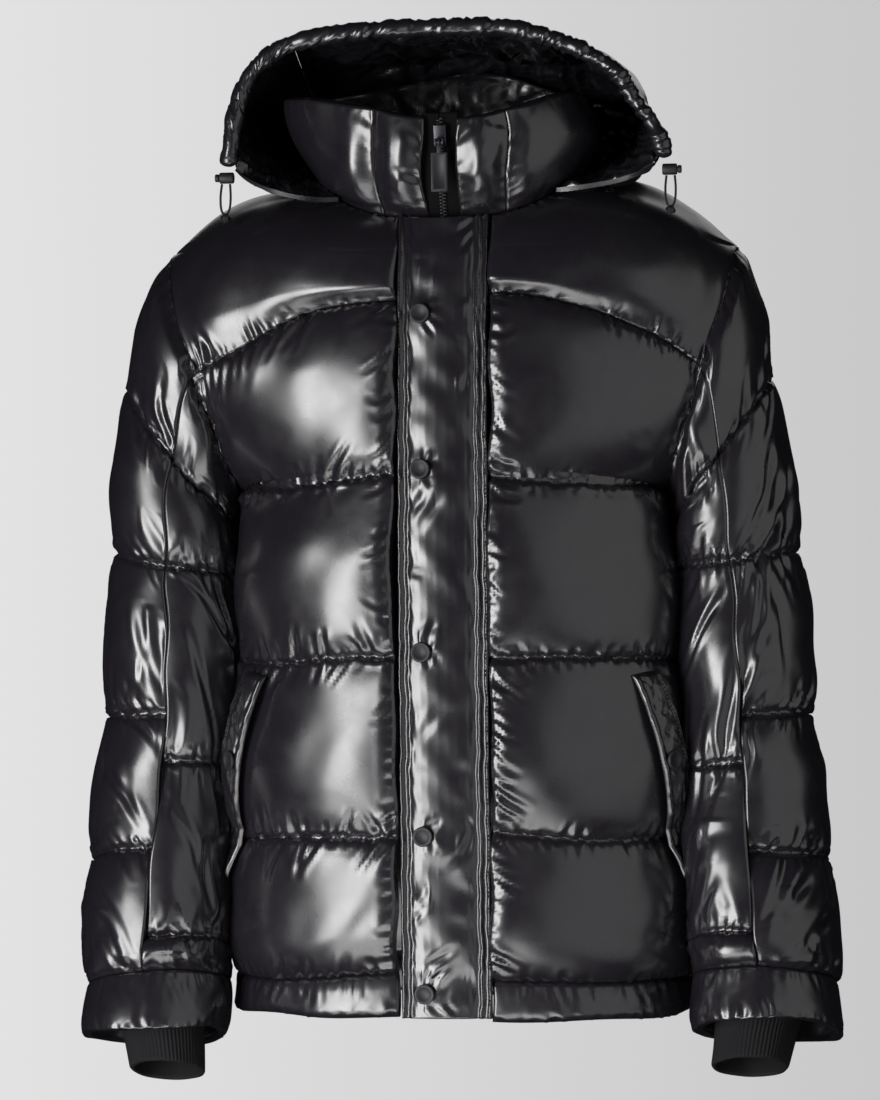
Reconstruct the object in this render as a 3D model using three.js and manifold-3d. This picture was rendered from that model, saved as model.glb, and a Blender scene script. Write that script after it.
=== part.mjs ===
// A hooded puffer jacket, filled out as if worn, with its neck, hem and cuffs open.
// Millimetres. The front faces -Y, +Z is up and +X is the wearer's left.
// The origin is the middle of the neck opening, where the wearer's neck holds the jacket.

import * as THREE from 'three';
import { mergeVertices } from 'three/addons/utils/BufferGeometryUtils.js';
import Module from 'manifold-3d';

const wasm = await Module();
wasm.setup();

// Cloth and seams
const WALL = 3.2; // shell, filling and lining where a seam pins them together
const SEAM_GAP = 0.3; // clearance between two pieces along a seam
const BODY_PUFF = 20; // how far a channel of the body stands out from its seams
const YOKE_PUFF = 13;
const SLEEVE_PUFF = 12;
const CUFF_PUFF = 5;
const COLLAR_PUFF = 10;
const HOOD_PUFF = 10;

// Front opening
const PLACKET_HALF = 35;
const PLACKET_THICK = 3.9;
const PLACKET_CROWN = 2.2; // how much fuller the placket is in its middle
const PLACKET_CLEAR = 0.45; // between the placket and the fronts it is sewn on
const FRONT_EDGE = 9; // where each front ends under the placket
const COLLAR_EDGE = 12.4; // where each collar flap ends beside the zip
const COLLAR_SEAM = 47; // vertical seam between a collar flap and the rest of the collar
const TAPE_HALF = 15;
const TAPE_THICK = 1.4;
const TAPE_CLEAR = 0.9; // between the tapes and the fronts they are sewn behind
const CHAIN_HALF = 2.6;
const CHAIN_THICK = 3;

// Armhole: an oval between the shoulder tip and the underarm
const SHOULDER_TIP = { x: 219, z: -33 };
const UNDERARM = { x: 168, z: -224 };
const ARMHOLE_DEPTH = 72;
const SHOULDER_RISE = 17; // how far the shoulder seam bows up between the neck and the tip
const NECK_SIDE = { x: 96, y: 2, z: 20 }; // where the shoulder seam meets the neck

// Body lines from the hem up, each a seam or an edge.
// The front and back columns are the line's middle, the side columns its end at the side seam.
const BODY_LINES = [
  { line: 'hem', frontY: -123, frontZ: -625, backY: 119, backZ: -641, sideX: 176, sideZ: -638 },
  { line: 'casing', frontY: -123, frontZ: -595, backY: 118, backZ: -611, sideX: 175, sideZ: -609 },
  { line: 'lower', frontY: -124, frontZ: -484, backY: 113, backZ: -495, sideX: 169, sideZ: -494 },
  { line: 'middle', frontY: -124, frontZ: -348, backY: 109, backZ: -355, sideX: 166, sideZ: -354 },
  { line: 'chest', frontY: -119, frontZ: -210, backY: 110, backZ: -222, sideX: 168, sideZ: -224 },
  { line: 'yoke', frontY: -108, frontZ: -71, backY: 102, backZ: -112, sideX: 193, sideZ: -130 },
  { line: 'neck', frontY: -92, frontZ: -11, backY: 66, backZ: 22, sideX: 96, sideZ: 20 },
];
const MIDDLE = 3;
const CHEST = 4;
const YOKE = 5;
const NECK = 6;
const CHANNEL_STEPS = 3;
const ARMHOLE_STEPS = 5;
const FRONT_COLUMNS = 8;
const BACK_COLUMNS = 16;
const SQUARENESS = 2.3; // of the body's section, where 2 is an ellipse

// Sleeve rings from the armhole down. outer and inner are the two ends of the ring, seen from the
// front. depth is half its front-to-back size, lean the forward tilt of the arm there, in degrees.
const SLEEVE_RINGS = [
  { ring: 'armhole', outerX: 219, outerZ: -33, innerX: 168, innerZ: -224, y: 0, depth: 72, lean: 0 },
  { ring: 'cap', outerX: 249, outerZ: -138, innerX: 187, innerZ: -252, y: -2, depth: 63, lean: 0 },
  { ring: 'upper', outerX: 267, outerZ: -271, innerX: 191, innerZ: -288, y: -6, depth: 60, lean: 2 },
  { ring: 'elbow', outerX: 275, outerZ: -401, innerX: 194, innerZ: -405, y: -15, depth: 59, lean: 8 },
  { ring: 'fore', outerX: 281, outerZ: -514, innerX: 196, innerZ: -510, y: -34, depth: 57, lean: 14 },
  { ring: 'cuff', outerX: 293, outerZ: -611, innerX: 196, innerZ: -605, y: -57, depth: 57, lean: 16 },
  { ring: 'end', outerX: 297, outerZ: -653, innerX: 196, innerZ: -647, y: -68, depth: 59, lean: 16 },
];
const CUFF = 5;
const SLEEVE_END = 6;
const SLEEVE_COLUMNS = 20;
const SLEEVE_SQUARENESS = 2.15;
const OUTER_LINES = [0, 1, 2, 3, 4, 5];
const UNDER_LINES = [0, 1, 2, 10 / 3, 14 / 3, 5];

// Rib cuff, from the seam inside the cuff band to its free end
const RIB_RINGS = [
  { ring: 'seam', x: 245, y: -59.5, z: -619, width: 43.9, depth: 52.2, lean: 16 },
  { ring: 'waist', x: 240, y: -66, z: -640, width: 33, depth: 37, lean: 18 },
  { ring: 'end', x: 237, y: -80, z: -674, width: 29.5, depth: 32, lean: 22 },
];
const RIB_COUNT = 26;
const RIB_HEIGHT = 0.9;
const RIB_WALL = 2.2;

// Collar, a funnel that opens towards its top edge
const COLLAR_TOP = { frontY: -116, frontZ: 68, sideX: 122, sideY: 2, sideZ: 93, backY: 84, backZ: 118 };
const COLLAR_STEPS = 4;

// Hood ribs from one lower corner to the middle, mirrored for the other side. Each is a smooth line
// from the opening's edge over the crown and the nape to the neck seam.
const HOOD_RIBS = [
  { edge: [166, -66, 32], crown: [150, -72, 30], nape: [122, -72, 29], neck: 0.30 },
  { edge: [168, -60, 72], crown: [175, 0, 72], nape: [152, 52, 48], neck: 0.44 },
  { edge: [150, -58, 112], crown: [172, 50, 120], nape: [152, 120, 50], neck: 0.60 },
  { edge: [92, -60, 137], crown: [106, 78, 164], nape: [100, 182, 62], neck: 0.80 },
  { edge: [0, -60, 142], crown: [0, 84, 176], nape: [0, 206, 68], neck: 1.0 },
];
const HOOD_SEAM = 2.7; // hood rib where a side panel meets the centre panel
const HOOD_LINES = [0, 0.36, 0.68, 1];
const HOOD_STEPS = 3;
const HOOD_LIFT = 9; // the hood's lower edge sits this far up the collar
const BRIM_RADIUS = 7;
const CASING_CLEAR = 2.2;

// Press studs: height on the placket, and the stud's own size
const STUD_X = -16.5;
const STUD_LEVELS = [-85, -204, -344, -485, -606];
const STUD_RADIUS = 7.7;
const STUD_THICK = 2.4;
const STUD_CLEAR = 0.6;

// Pocket welts: middle line on the front, from its top to its bottom. angle turns from the front's
// middle, 0, to the side seam, 90 degrees.
const WELT_TOP = { angle: 56, z: -362 };
const WELT_BOTTOM = { angle: 73, z: -522 };
const WELT_RADIUS = 133; // of the front where the welt crosses it
const WELT_TILT = 0.15;
const WELT_STUD = { along: 0.42, across: -4 };
const WELT_WIDTH = 24;
const WELT_THICK = 3.4;
const WELT_BRIDGE = 8;
const WELT_CLEAR = 0.6;
const WELT_STEPS = 15;

// Zip slider and pull tab
const SLIDER_Z = 52;
const SLIDER = { width: 10, height: 17, thick: 2.6, clear: 1 };
const EAR = { thick: 1.4, depth: 7.7, height: 4.4, back: 2.5, up: 0.6 };
const HINGE_OUT = 6.2; // hinge pin in front of the slider's plate
const HINGE_DROP = 4;
const PIN_RADIUS = 1.1;
const PULL = {
  width: 13, length: 38, thick: 2.4, neckLength: 2.5, shoulder: 6, corner: 2,
  eyeInner: 1.6, eyeOuter: 3.4, eyeWidth: 3.4, eyeClear: 0.4, eyeBite: 0.8,
};

// Hood drawcords, from the eyelet at the hood's lower corner down to the knot
const CORD_DIAMETER = 1.8;
const CORD_SIDES = 8;
const CORD_ROUTE = [
  [171.2, -67, 21.7], [170.7, -68.4, 17], [170.4, -69.5, 12], [170.5, -70.4, 7], [170.9, -71.1, 3],
  [172, -71.6, -0.6], [174.4, -71.8, -2.6], [176.8, -71.6, -0.6], [177.9, -71.1, 3],
  [178.3, -70.4, 7], [178.4, -69.5, 12], [178.1, -68.4, 17], [177.6, -67, 21.7],
];
const LOCK = { x: 175.5, y: -67, z: 26.6, radius: 4.4, length: 15 };
const KNOT_RADIUS = 3.8;

const { lerp, smoothstep, degToRad } = THREE.MathUtils;
const vec = (x, y, z) => new THREE.Vector3(x, y, z);
const mix = (a, b, t) => a.clone().lerp(b, t);

const shellBlack = { color: 0x1a181c, roughness: 0.2, metalness: 0 };
const ribBlack = { color: 0x141316, roughness: 0.9, metalness: 0 };
const plasticBlack = { color: 0x17161a, roughness: 0.45, metalness: 0 };
const metalBlack = { color: 0x2a2a2e, roughness: 0.35, metalness: 0.8 };

const jacket = new THREE.Group();

function addPiece(name, geometry, look) {
  const mesh = new THREE.Mesh(geometry, new THREE.MeshStandardMaterial(look));
  mesh.name = name;
  jacket.add(mesh);
  return mesh;
}

// Smooth value of one column of a table at a place between its rows
function columnAt(table, column, place) {
  const last = table.length - 1;
  const i = Math.min(Math.floor(place), last - 1);
  const t = place - i;
  const value = (k) => table[Math.max(0, Math.min(last, k))][column];
  const [p0, p1, p2, p3] = [value(i - 1), value(i), value(i + 1), value(i + 2)];
  const slopeIn = (p2 - p0) / 2;
  const slopeOut = (p3 - p1) / 2;
  const t2 = t * t;
  const t3 = t2 * t;
  return (2 * t3 - 3 * t2 + 1) * p1 + (t3 - 2 * t2 + t) * slopeIn
    + (3 * t2 - 2 * t3) * p2 + (t3 - t2) * slopeOut;
}

function range(from, to, steps) {
  return Array.from({ length: steps + 1 }, (_, i) => lerp(from, to, i / steps));
}

// A closed wall between an outer and an inner grid of points, or a closed tube of wall when it wraps
function wallGeometry(outer, inner, wraps = false) {
  const rows = outer.length;
  const columns = outer[0].length;
  const points = [...outer.flat(), ...inner.flat()];
  const out = (r, c) => r * columns + (c % columns);
  const inn = (r, c) => rows * columns + out(r, c);
  const faces = [];
  const quad = (a, b, c, d) => faces.push(a, b, c, a, c, d);
  const spans = wraps ? columns : columns - 1;
  for (let r = 0; r < rows - 1; r += 1) {
    for (let c = 0; c < spans; c += 1) {
      quad(out(r, c), out(r, c + 1), out(r + 1, c + 1), out(r + 1, c));
      quad(inn(r, c), inn(r + 1, c), inn(r + 1, c + 1), inn(r, c + 1));
    }
  }
  for (let c = 0; c < spans; c += 1) {
    quad(out(0, c), inn(0, c), inn(0, c + 1), out(0, c + 1));
    quad(out(rows - 1, c), out(rows - 1, c + 1), inn(rows - 1, c + 1), inn(rows - 1, c));
  }
  if (!wraps) {
    for (let r = 0; r < rows - 1; r += 1) {
      quad(out(r, 0), out(r + 1, 0), inn(r + 1, 0), inn(r, 0));
      quad(out(r, columns - 1), inn(r, columns - 1), inn(r + 1, columns - 1), out(r + 1, columns - 1));
    }
  }
  return facingOut(points, faces);
}

// Builds a geometry from points and faces, turned inside out when its volume comes out negative
function facingOut(points, faces) {
  let volume = 0;
  for (let i = 0; i < faces.length; i += 3) {
    volume += points[faces[i]].dot(points[faces[i + 1]].clone().cross(points[faces[i + 2]]));
  }
  const order = volume > 0 ? faces : faces.slice().reverse();
  const geometry = new THREE.BufferGeometry();
  geometry.setAttribute('position', new THREE.Float32BufferAttribute(points.flatMap((p) => p.toArray()), 3));
  geometry.setIndex(order);
  geometry.computeVertexNormals();
  return geometry;
}

// Pulls the edges of a grid in by half the seam gap
function clearEdges(grid, { first = true, last = true, low = true, high = true } = {}) {
  const half = SEAM_GAP / 2;
  const pull = (point, towards) => point.add(towards.clone().sub(point).setLength(half));
  const rows = grid.length;
  const columns = grid[0].length;
  for (let c = 0; c < columns; c += 1) {
    if (first) pull(grid[0][c], grid[1][c]);
    if (last) pull(grid[rows - 1][c], grid[rows - 2][c]);
  }
  for (const row of grid) {
    if (low) pull(row[0], row[1]);
    if (high) pull(row[columns - 1], row[columns - 2]);
  }
  return grid;
}

const mirrored = (grid) => grid.map((row) => row.map((p) => vec(-p.x, p.y, p.z)));

function addWall(name, outer, inner, look = shellBlack, wraps = false) {
  addPiece(name, wallGeometry(outer, inner, wraps), look);
}

function addPair(name, outer, inner, look = shellBlack, wraps = false) {
  addWall(`${name}_left`, outer, inner, look, wraps);
  addWall(`${name}_right`, mirrored(outer), mirrored(inner), look, wraps);
}

// Rounded rise and fall across one channel, from seam to seam
const bulge = (t) => Math.sin(Math.PI * THREE.MathUtils.clamp(t, 0, 1)) ** 0.7;

function channelBulge(lines, place) {
  const last = lines.length - 2;
  const found = lines.findIndex((line, i) => i < lines.length - 1 && place <= lines[i + 1]);
  const i = found < 0 ? last : found;
  return bulge((place - lines[i]) / (lines[i + 1] - lines[i]));
}

// Armhole oval: angle 0 is the shoulder tip, 180 the underarm, and face -1 is its front half
function armholePoint(angle, face) {
  const a = degToRad(angle);
  const middleX = (SHOULDER_TIP.x + UNDERARM.x) / 2;
  const middleZ = (SHOULDER_TIP.z + UNDERARM.z) / 2;
  const swing = Math.cos(a);
  return vec(
    middleX + ((SHOULDER_TIP.x - UNDERARM.x) / 2) * swing,
    face * ARMHOLE_DEPTH * roundedSine(a, SLEEVE_SQUARENESS),
    middleZ + ((SHOULDER_TIP.z - UNDERARM.z) / 2) * swing,
  );
}

// Sine of an angle, on an oval a little squarer than an ellipse when its cosine stays as it is
function roundedSine(a, squareness) {
  const rest = 1 - Math.abs(Math.cos(a)) ** squareness;
  return Math.sign(Math.sin(a)) * Math.max(0, rest) ** (1 / squareness);
}

// Armhole angle at a place between the chest line and the top of the armhole
function armholeAngle(place) {
  if (place < YOKE) return lerp(180, 90, place - CHEST);
  return lerp(90, 0, Math.min(1, (place - YOKE) * 2));
}

// One line round the body at a place between the hem and the neck
function bodyRow(place, face) {
  const middleY = columnAt(BODY_LINES, face < 0 ? 'frontY' : 'backY', place);
  const middleZ = columnAt(BODY_LINES, face < 0 ? 'frontZ' : 'backZ', place);
  if (place <= CHEST) {
    const side = vec(columnAt(BODY_LINES, 'sideX', place), 0, columnAt(BODY_LINES, 'sideZ', place));
    return { middleY, middleZ, side, turn: 1, bow: 2 };
  }
  if (place <= YOKE + 0.5) {
    const angle = armholeAngle(place);
    const turn = 1 - 0.2 * Math.sin(degToRad(angle));
    return { middleY, middleZ, side: armholePoint(angle, face), turn, bow: 2.8 };
  }
  const along = (place - YOKE - 0.5) * 2;
  const tip = armholePoint(0, face);
  const side = mix(tip, vec(NECK_SIDE.x, NECK_SIDE.y, NECK_SIDE.z), along);
  side.z += SHOULDER_RISE * Math.sin(Math.PI * along);
  return { middleY, middleZ, side, turn: 1, bow: 2.4 };
}

function bodyPoint(place, x, face) {
  const row = bodyRow(place, face);
  const across = Math.min(1, Math.abs(x) / row.side.x);
  const depthAt = (q) => 1 - Math.max(0, 1 - q ** SQUARENESS) ** (1 / SQUARENESS);
  const swing = depthAt(across * row.turn) / depthAt(row.turn);
  return vec(x, lerp(row.middleY, row.side.y, swing), lerp(row.middleZ, row.side.z, across ** row.bow));
}

// Outward direction of the body's surface. angle is measured from its middle to its side, 90 degrees.
function bodyNormal(place, angle, face) {
  const step = 0.03;
  const at = (h, a) => bodyPoint(h, bodyRow(h, face).side.x * Math.sin(a), face);
  const limit = Math.PI / 2;
  const across = at(place, Math.min(limit, angle + step)).sub(at(place, angle - step));
  const up = at(Math.min(NECK, place + step), angle).sub(at(Math.max(0, place - step), angle));
  const normal = across.cross(up).normalize();
  return face < 0 ? normal : normal.negate();
}

// Direction of the wall's thickness: at the side seam and the shoulder the two halves share one, and at
// the armhole it turns from the radius of the oval towards the body near the underarm.
function bodyOutward(place, x, face) {
  const row = bodyRow(place, face);
  const angle = Math.asin(Math.min(1, Math.abs(x) / row.side.x));
  const mirroredX = x < 0 ? -1 : 1;
  let normal = bodyNormal(place, angle, face);
  if (angle > Math.PI / 2 - 1e-6) {
    const armhole = place > CHEST && place < YOKE + 0.5;
    if (armhole) normal = armholeOutward(armholeAngle(place), face, 1);
    else normal.add(bodyNormal(place, angle, -face)).normalize();
  }
  return vec(normal.x * mirroredX, normal.y, normal.z);
}

function armholeOutward(angle, face, towardsArm) {
  const middle = vec((SHOULDER_TIP.x + UNDERARM.x) / 2, 0, (SHOULDER_TIP.z + UNDERARM.z) / 2);
  const radius = armholePoint(angle, face).sub(middle).normalize();
  const share = 0.93 * smoothstep(angle, 95, 180);
  return radius.multiplyScalar(1 - share).add(vec(towardsArm * share, 0, 0)).normalize();
}

// How full the body is at a point: nothing along the placket, little at seams, full in the middle
function bodyPuff(place, x, face) {
  const row = bodyRow(place, face);
  const angle = Math.asin(Math.min(1, Math.abs(x) / row.side.x));
  const toSide = (Math.PI / 2 - angle) / (Math.PI / 2);
  const besidePlacket = face < 0 ? smoothstep(Math.abs(x), PLACKET_HALF + 1, PLACKET_HALF + 27) : 1;
  if (place > YOKE) {
    const t = place - YOKE;
    const rise = smoothstep(t, 0, 0.28) * (1 - 0.5 * t) * (1 - t ** 5);
    const atSide = lerp(place < YOKE + 0.5 ? 0.1 : 0.45, 1, smoothstep(toSide, 0.02, 0.35));
    return YOKE_PUFF * rise * atSide * besidePlacket;
  }
  const underArm = lerp(0.6, 0.1, smoothstep(place, CHEST - 0.6, CHEST));
  const atSide = lerp(underArm, 1, smoothstep(toSide, 0.04, place > CHEST ? 0.42 : 0.27));
  const levels = BODY_LINES.map((_, i) => i);
  const height = place < 1 ? 0.4 : 1;
  return BODY_PUFF * height * channelBulge(levels, place) * atSide * besidePlacket;
}

const frontColumns = (row) => {
  const start = Math.asin((PLACKET_HALF + 1) / row.side.x);
  const swept = range(start, Math.PI / 2, FRONT_COLUMNS).map((a) => row.side.x * Math.sin(a));
  return [FRONT_EDGE, ...swept];
};

const backColumns = (row) => {
  const angles = range(-Math.PI / 2, Math.PI / 2, BACK_COLUMNS);
  return angles.map((a) => row.side.x * Math.sin(a));
};

// Outer and inner grids of one body panel
function bodyPanel(places, face, columns) {
  const outer = [];
  const inner = [];
  for (const place of places) {
    const xs = columns(bodyRow(place, face));
    outer.push(xs.map((x) => bodyPoint(place, x, face)
      .addScaledVector(bodyOutward(place, x, face), bodyPuff(place, x, face))));
    inner.push(xs.map((x) => bodyPoint(place, x, face)
      .addScaledVector(bodyOutward(place, x, face), -WALL)));
  }
  return [clearEdges(outer), clearEdges(inner)];
}

// Places of a panel's rows, with the same steps as the sleeve's columns along the armhole
const bodyPlaces = [
  ...range(1, CHEST, (CHEST - 1) * CHANNEL_STEPS),
  ...range(CHEST, YOKE, ARMHOLE_STEPS).slice(1),
];
const casingPlaces = range(0, 1, 2);
const yokePlaces = [
  ...range(YOKE, YOKE + 0.5, ARMHOLE_STEPS),
  ...range(YOKE + 0.5, NECK, ARMHOLE_STEPS - 1).slice(1),
];

const bodyHeights = [...casingPlaces, ...bodyPlaces.slice(1), ...yokePlaces.slice(1)];

addPair('front', ...bodyPanel(bodyPlaces, -1, frontColumns));
addPair('front_yoke', ...bodyPanel(yokePlaces, -1, frontColumns));
addPair('hem_casing_front', ...bodyPanel(casingPlaces, -1, frontColumns));
addWall('back', ...bodyPanel(bodyPlaces, 1, backColumns));
addWall('back_yoke', ...bodyPanel(yokePlaces, 1, backColumns));
addWall('hem_casing_back', ...bodyPanel(casingPlaces, 1, backColumns));

// Placket: a strip over both front edges, from the hem to the neck seam
function placketPoint(place, x, lift) {
  return bodyPoint(place, x, -1).addScaledVector(bodyOutward(place, x, -1), lift);
}

function placketLift(place, x) {
  return PLACKET_CLEAR + PLACKET_THICK + PLACKET_CROWN * (1 - (x / PLACKET_HALF) ** 4);
}

function addPlacket() {
  const places = bodyHeights;
  const xs = range(-PLACKET_HALF, PLACKET_HALF, 4);
  const outer = places.map((place) => xs.map((x) => placketPoint(place, x, placketLift(place, x))));
  const inner = places.map((place) => xs.map((x) => placketPoint(place, x, PLACKET_CLEAR)));
  const ends = { first: false, low: false, high: false };
  addWall('placket', clearEdges(outer, ends), clearEdges(inner, ends));
}
addPlacket();

// Place on the body where its front middle reaches a height
function placeAtHeight(z, x, face) {
  let low = 0;
  let high = NECK;
  for (let i = 0; i < 30; i += 1) {
    const middle = (low + high) / 2;
    if (bodyPoint(middle, x, face).z < z) low = middle;
    else high = middle;
  }
  return low;
}

function studGeometry() {
  const profile = [
    [0, 0], [STUD_RADIUS, 0], [STUD_RADIUS, STUD_THICK * 0.55], [STUD_RADIUS * 0.85, STUD_THICK],
    [STUD_RADIUS * 0.55, STUD_THICK * 0.75], [0, STUD_THICK * 0.75],
  ];
  return new THREE.LatheGeometry(profile.map(([r, h]) => new THREE.Vector2(r, h)), 12);
}

// Sets a stud on a surface point, its back parallel to the cloth
function addStud(name, point, outward) {
  const stud = addPiece(name, studGeometry(), plasticBlack);
  stud.quaternion.setFromUnitVectors(vec(0, 1, 0), outward);
  stud.position.copy(point).addScaledVector(outward, STUD_CLEAR);
}

STUD_LEVELS.forEach((level, i) => {
  const place = placeAtHeight(level, STUD_X, -1);
  const point = placketPoint(place, STUD_X, placketLift(place, STUD_X));
  addStud(`placket_stud_${i + 1}`, point, bodyOutward(place, STUD_X, -1));
});

// Pocket welt: a slanting strip that lies on the front's channels and bridges the seam it crosses
function weltPoint(along, across, lift) {
  const turn = degToRad(lerp(WELT_TOP.angle, WELT_BOTTOM.angle, along)) + across / WELT_RADIUS;
  const z = lerp(WELT_TOP.z, WELT_BOTTOM.z, along) + across * WELT_TILT;
  const place = placeAtHeight(z, bodyRow(MIDDLE, -1).side.x * Math.sin(turn), -1);
  const x = bodyRow(place, -1).side.x * Math.sin(turn);
  const rise = Math.max(WELT_BRIDGE, bodyPuff(place, x, -1)) + WELT_CLEAR;
  return bodyPoint(place, x, -1).addScaledVector(bodyOutward(place, x, -1), rise + lift);
}

function addWelts() {
  const alongs = range(0, 1, WELT_STEPS);
  const acrosses = range(-WELT_WIDTH / 2, WELT_WIDTH / 2, 2);
  const edge = (across) => 1 - (Math.abs(across) / (WELT_WIDTH / 2)) ** 4 * 0.5;
  const outer = alongs.map((t) => acrosses.map((s) => weltPoint(t, s, WELT_THICK * edge(s))));
  const inner = alongs.map((t) => acrosses.map((s) => weltPoint(t, s, 0)));
  addPair('pocket_welt', outer, inner);
  const { along, across } = WELT_STUD;
  const point = weltPoint(along, across, WELT_THICK);
  const below = weltPoint(along + 0.03, across, WELT_THICK).sub(point);
  const beside = weltPoint(along, across + 3, WELT_THICK).sub(point);
  const outward = below.cross(beside).normalize();
  addStud('pocket_stud_left', point, outward);
  const other = vec(-1, 1, 1);
  addStud('pocket_stud_right', point.clone().multiply(other), outward.clone().multiply(other));
}
addWelts();

// Sleeve ring at a place between the armhole and the end. angle 0 is outside, 180 is beside the body.
function sleevePoint(place, angle) {
  const a = degToRad(angle);
  const value = (column) => columnAt(SLEEVE_RINGS, column, place);
  const swing = Math.cos(a);
  const outX = value('outerX');
  const outZ = value('outerZ');
  const inX = value('innerX');
  const inZ = value('innerZ');
  const back = -value('depth') * roundedSine(a, SLEEVE_SQUARENESS);
  const lean = Math.tan(degToRad(value('lean')));
  return vec(
    lerp(inX, outX, (1 + swing) / 2),
    value('y') + back,
    lerp(inZ, outZ, (1 + swing) / 2) - back * lean,
  );
}

function sleeveOutward(place, angle) {
  const folded = Math.abs(angle > 180 ? angle - 360 : angle);
  if (place < 1e-6) return armholeOutward(folded, angle > 180 ? 1 : -1, -1);
  const step = 2;
  const across = sleevePoint(place, angle + step).sub(sleevePoint(place, angle - step));
  const down = sleevePoint(Math.min(SLEEVE_END, place + 0.05), angle)
    .sub(sleevePoint(Math.max(0, place - 0.05), angle));
  return across.cross(down).normalize();
}

function sleevePuff(place, angle, lines) {
  const folded = Math.abs(angle > 180 ? angle - 360 : angle);
  const besideBody = lerp(1, 0.25, smoothstep(folded, 110, 165));
  const atSeam = lerp(0.5, 1, smoothstep(Math.abs(folded - 90), 0, 30));
  const depthShare = lerp(0.8, 1.15, Math.sin(degToRad(folded)));
  const nearArmhole = smoothstep(place, 0, lerp(0.35, 1.5, smoothstep(folded, 100, 150)));
  return SLEEVE_PUFF * channelBulge(lines, place) * besideBody * atSeam * depthShare * nearArmhole;
}

// Direction away from the armhole, square to its plane. The sleeve steps along it, most at the underarm.
const ARMHOLE_AWAY = vec(0.97, 0, -0.25);

function sleevePanel(angles, lines) {
  const places = range(0, CUFF, CUFF * CHANNEL_STEPS);
  const outer = places.map((place) => angles.map((angle) => sleevePoint(place, angle)
    .addScaledVector(sleeveOutward(place, angle), sleevePuff(place, angle, lines))));
  const inner = places.map((place) => angles.map((angle) => sleevePoint(place, angle)
    .addScaledVector(sleeveOutward(place, angle), -WALL)));
  angles.forEach((angle, i) => {
    const low = 1 - smoothstep(Math.abs(Math.abs(angle) - 180), 15, 85);
    for (const grid of [outer, inner]) grid[0][i].addScaledVector(ARMHOLE_AWAY, lerp(0.35, 1.8, low));
  });
  return [clearEdges(outer), clearEdges(inner)];
}

addPair('sleeve_outer', ...sleevePanel(range(-90, 90, SLEEVE_COLUMNS / 2), OUTER_LINES));
addPair('sleeve_under', ...sleevePanel(range(90, 270, SLEEVE_COLUMNS / 2), UNDER_LINES));

// Cuff band: the padded end of the sleeve, open below
function addCuffBands() {
  const places = range(CUFF, SLEEVE_END, 4);
  const angles = range(0, 360, SLEEVE_COLUMNS).slice(0, -1);
  const rise = (place) => CUFF_PUFF * Math.sin(Math.PI * 0.8 * (place - CUFF)) ** 0.8;
  const outer = places.map((place) => angles.map((angle) => sleevePoint(place, angle)
    .addScaledVector(sleeveOutward(place, angle), rise(place))));
  const inner = places.map((place) => angles.map((angle) => sleevePoint(place, angle)
    .addScaledVector(sleeveOutward(place, angle), -WALL)));
  const ends = { last: false, low: false, high: false };
  addPair('cuff_band', clearEdges(outer, ends), clearEdges(inner, ends), shellBlack, true);
}
addCuffBands();

// Rib cuff: a knitted tube that flares to the seam inside the cuff band
function ribPoint(place, angle, lift) {
  const a = degToRad(angle);
  const value = (column) => columnAt(RIB_RINGS, column, place);
  const back = -(value('depth') + lift) * Math.sin(a);
  const lean = Math.tan(degToRad(value('lean')));
  const x = value('x') + (value('width') + lift) * Math.cos(a);
  return vec(x, value('y') + back, value('z') - back * lean);
}

function addRibCuffs() {
  const places = [0, 1, 2];
  const angles = range(0, 360, RIB_COUNT * 2).slice(0, -1);
  const rise = (i) => (i % 2 ? RIB_HEIGHT : 0);
  const outer = places.map((place) => angles.map((angle, i) => ribPoint(place, angle, rise(i))));
  const inner = places.map((place) => angles.map((angle) => ribPoint(place, angle, -RIB_WALL)));
  addPair('rib_cuff', outer, inner, ribBlack, true);
}
addRibCuffs();

// Collar. turn runs along the neck seam from the front middle (0) to the back middle (1) of one side.
function neckRow() {
  const front = frontColumns(bodyRow(NECK, -1)).map((x) => bodyPoint(NECK, x, -1));
  front[0] = bodyPoint(NECK, COLLAR_EDGE, -1);
  const back = backColumns(bodyRow(NECK, 1)).filter((x) => x > -1e-6).reverse()
    .map((x) => bodyPoint(NECK, x, 1));
  return [...front, ...back.slice(1)];
}

function alongLine(points, distanceShare) {
  const lengths = [0];
  for (let k = 1; k < points.length; k += 1) {
    lengths.push(lengths[k - 1] + points[k].distanceTo(points[k - 1]));
  }
  const target = distanceShare * lengths[lengths.length - 1];
  let i = 1;
  while (i < points.length - 1 && lengths[i] < target) i += 1;
  const t = (target - lengths[i - 1]) / (lengths[i] - lengths[i - 1]);
  return mix(points[i - 1], points[i], t);
}

const NECK_LINE = neckRow();

function collarTopPoint(base) {
  const face = base.y < NECK_SIDE.y ? -1 : 1;
  const across = Math.min(1, Math.abs(base.x) / NECK_SIDE.x);
  const middleY = face < 0 ? COLLAR_TOP.frontY : COLLAR_TOP.backY;
  const middleZ = face < 0 ? COLLAR_TOP.frontZ : COLLAR_TOP.backZ;
  const x = base.x * lerp(1, COLLAR_TOP.sideX / NECK_SIDE.x, smoothstep(across, 0.15, 1));
  const swing = 1 - Math.max(0, 1 - across ** SQUARENESS) ** (1 / SQUARENESS);
  return vec(x, lerp(middleY, COLLAR_TOP.sideY, swing), lerp(middleZ, COLLAR_TOP.sideZ, across ** 2));
}

function collarPoint(base, up) {
  const top = collarTopPoint(base);
  const point = mix(base, top, up);
  const lean = 4 * Math.sin(Math.PI * up);
  return point.addScaledVector(vec(point.x, point.y, 0).normalize(), lean);
}

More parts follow.
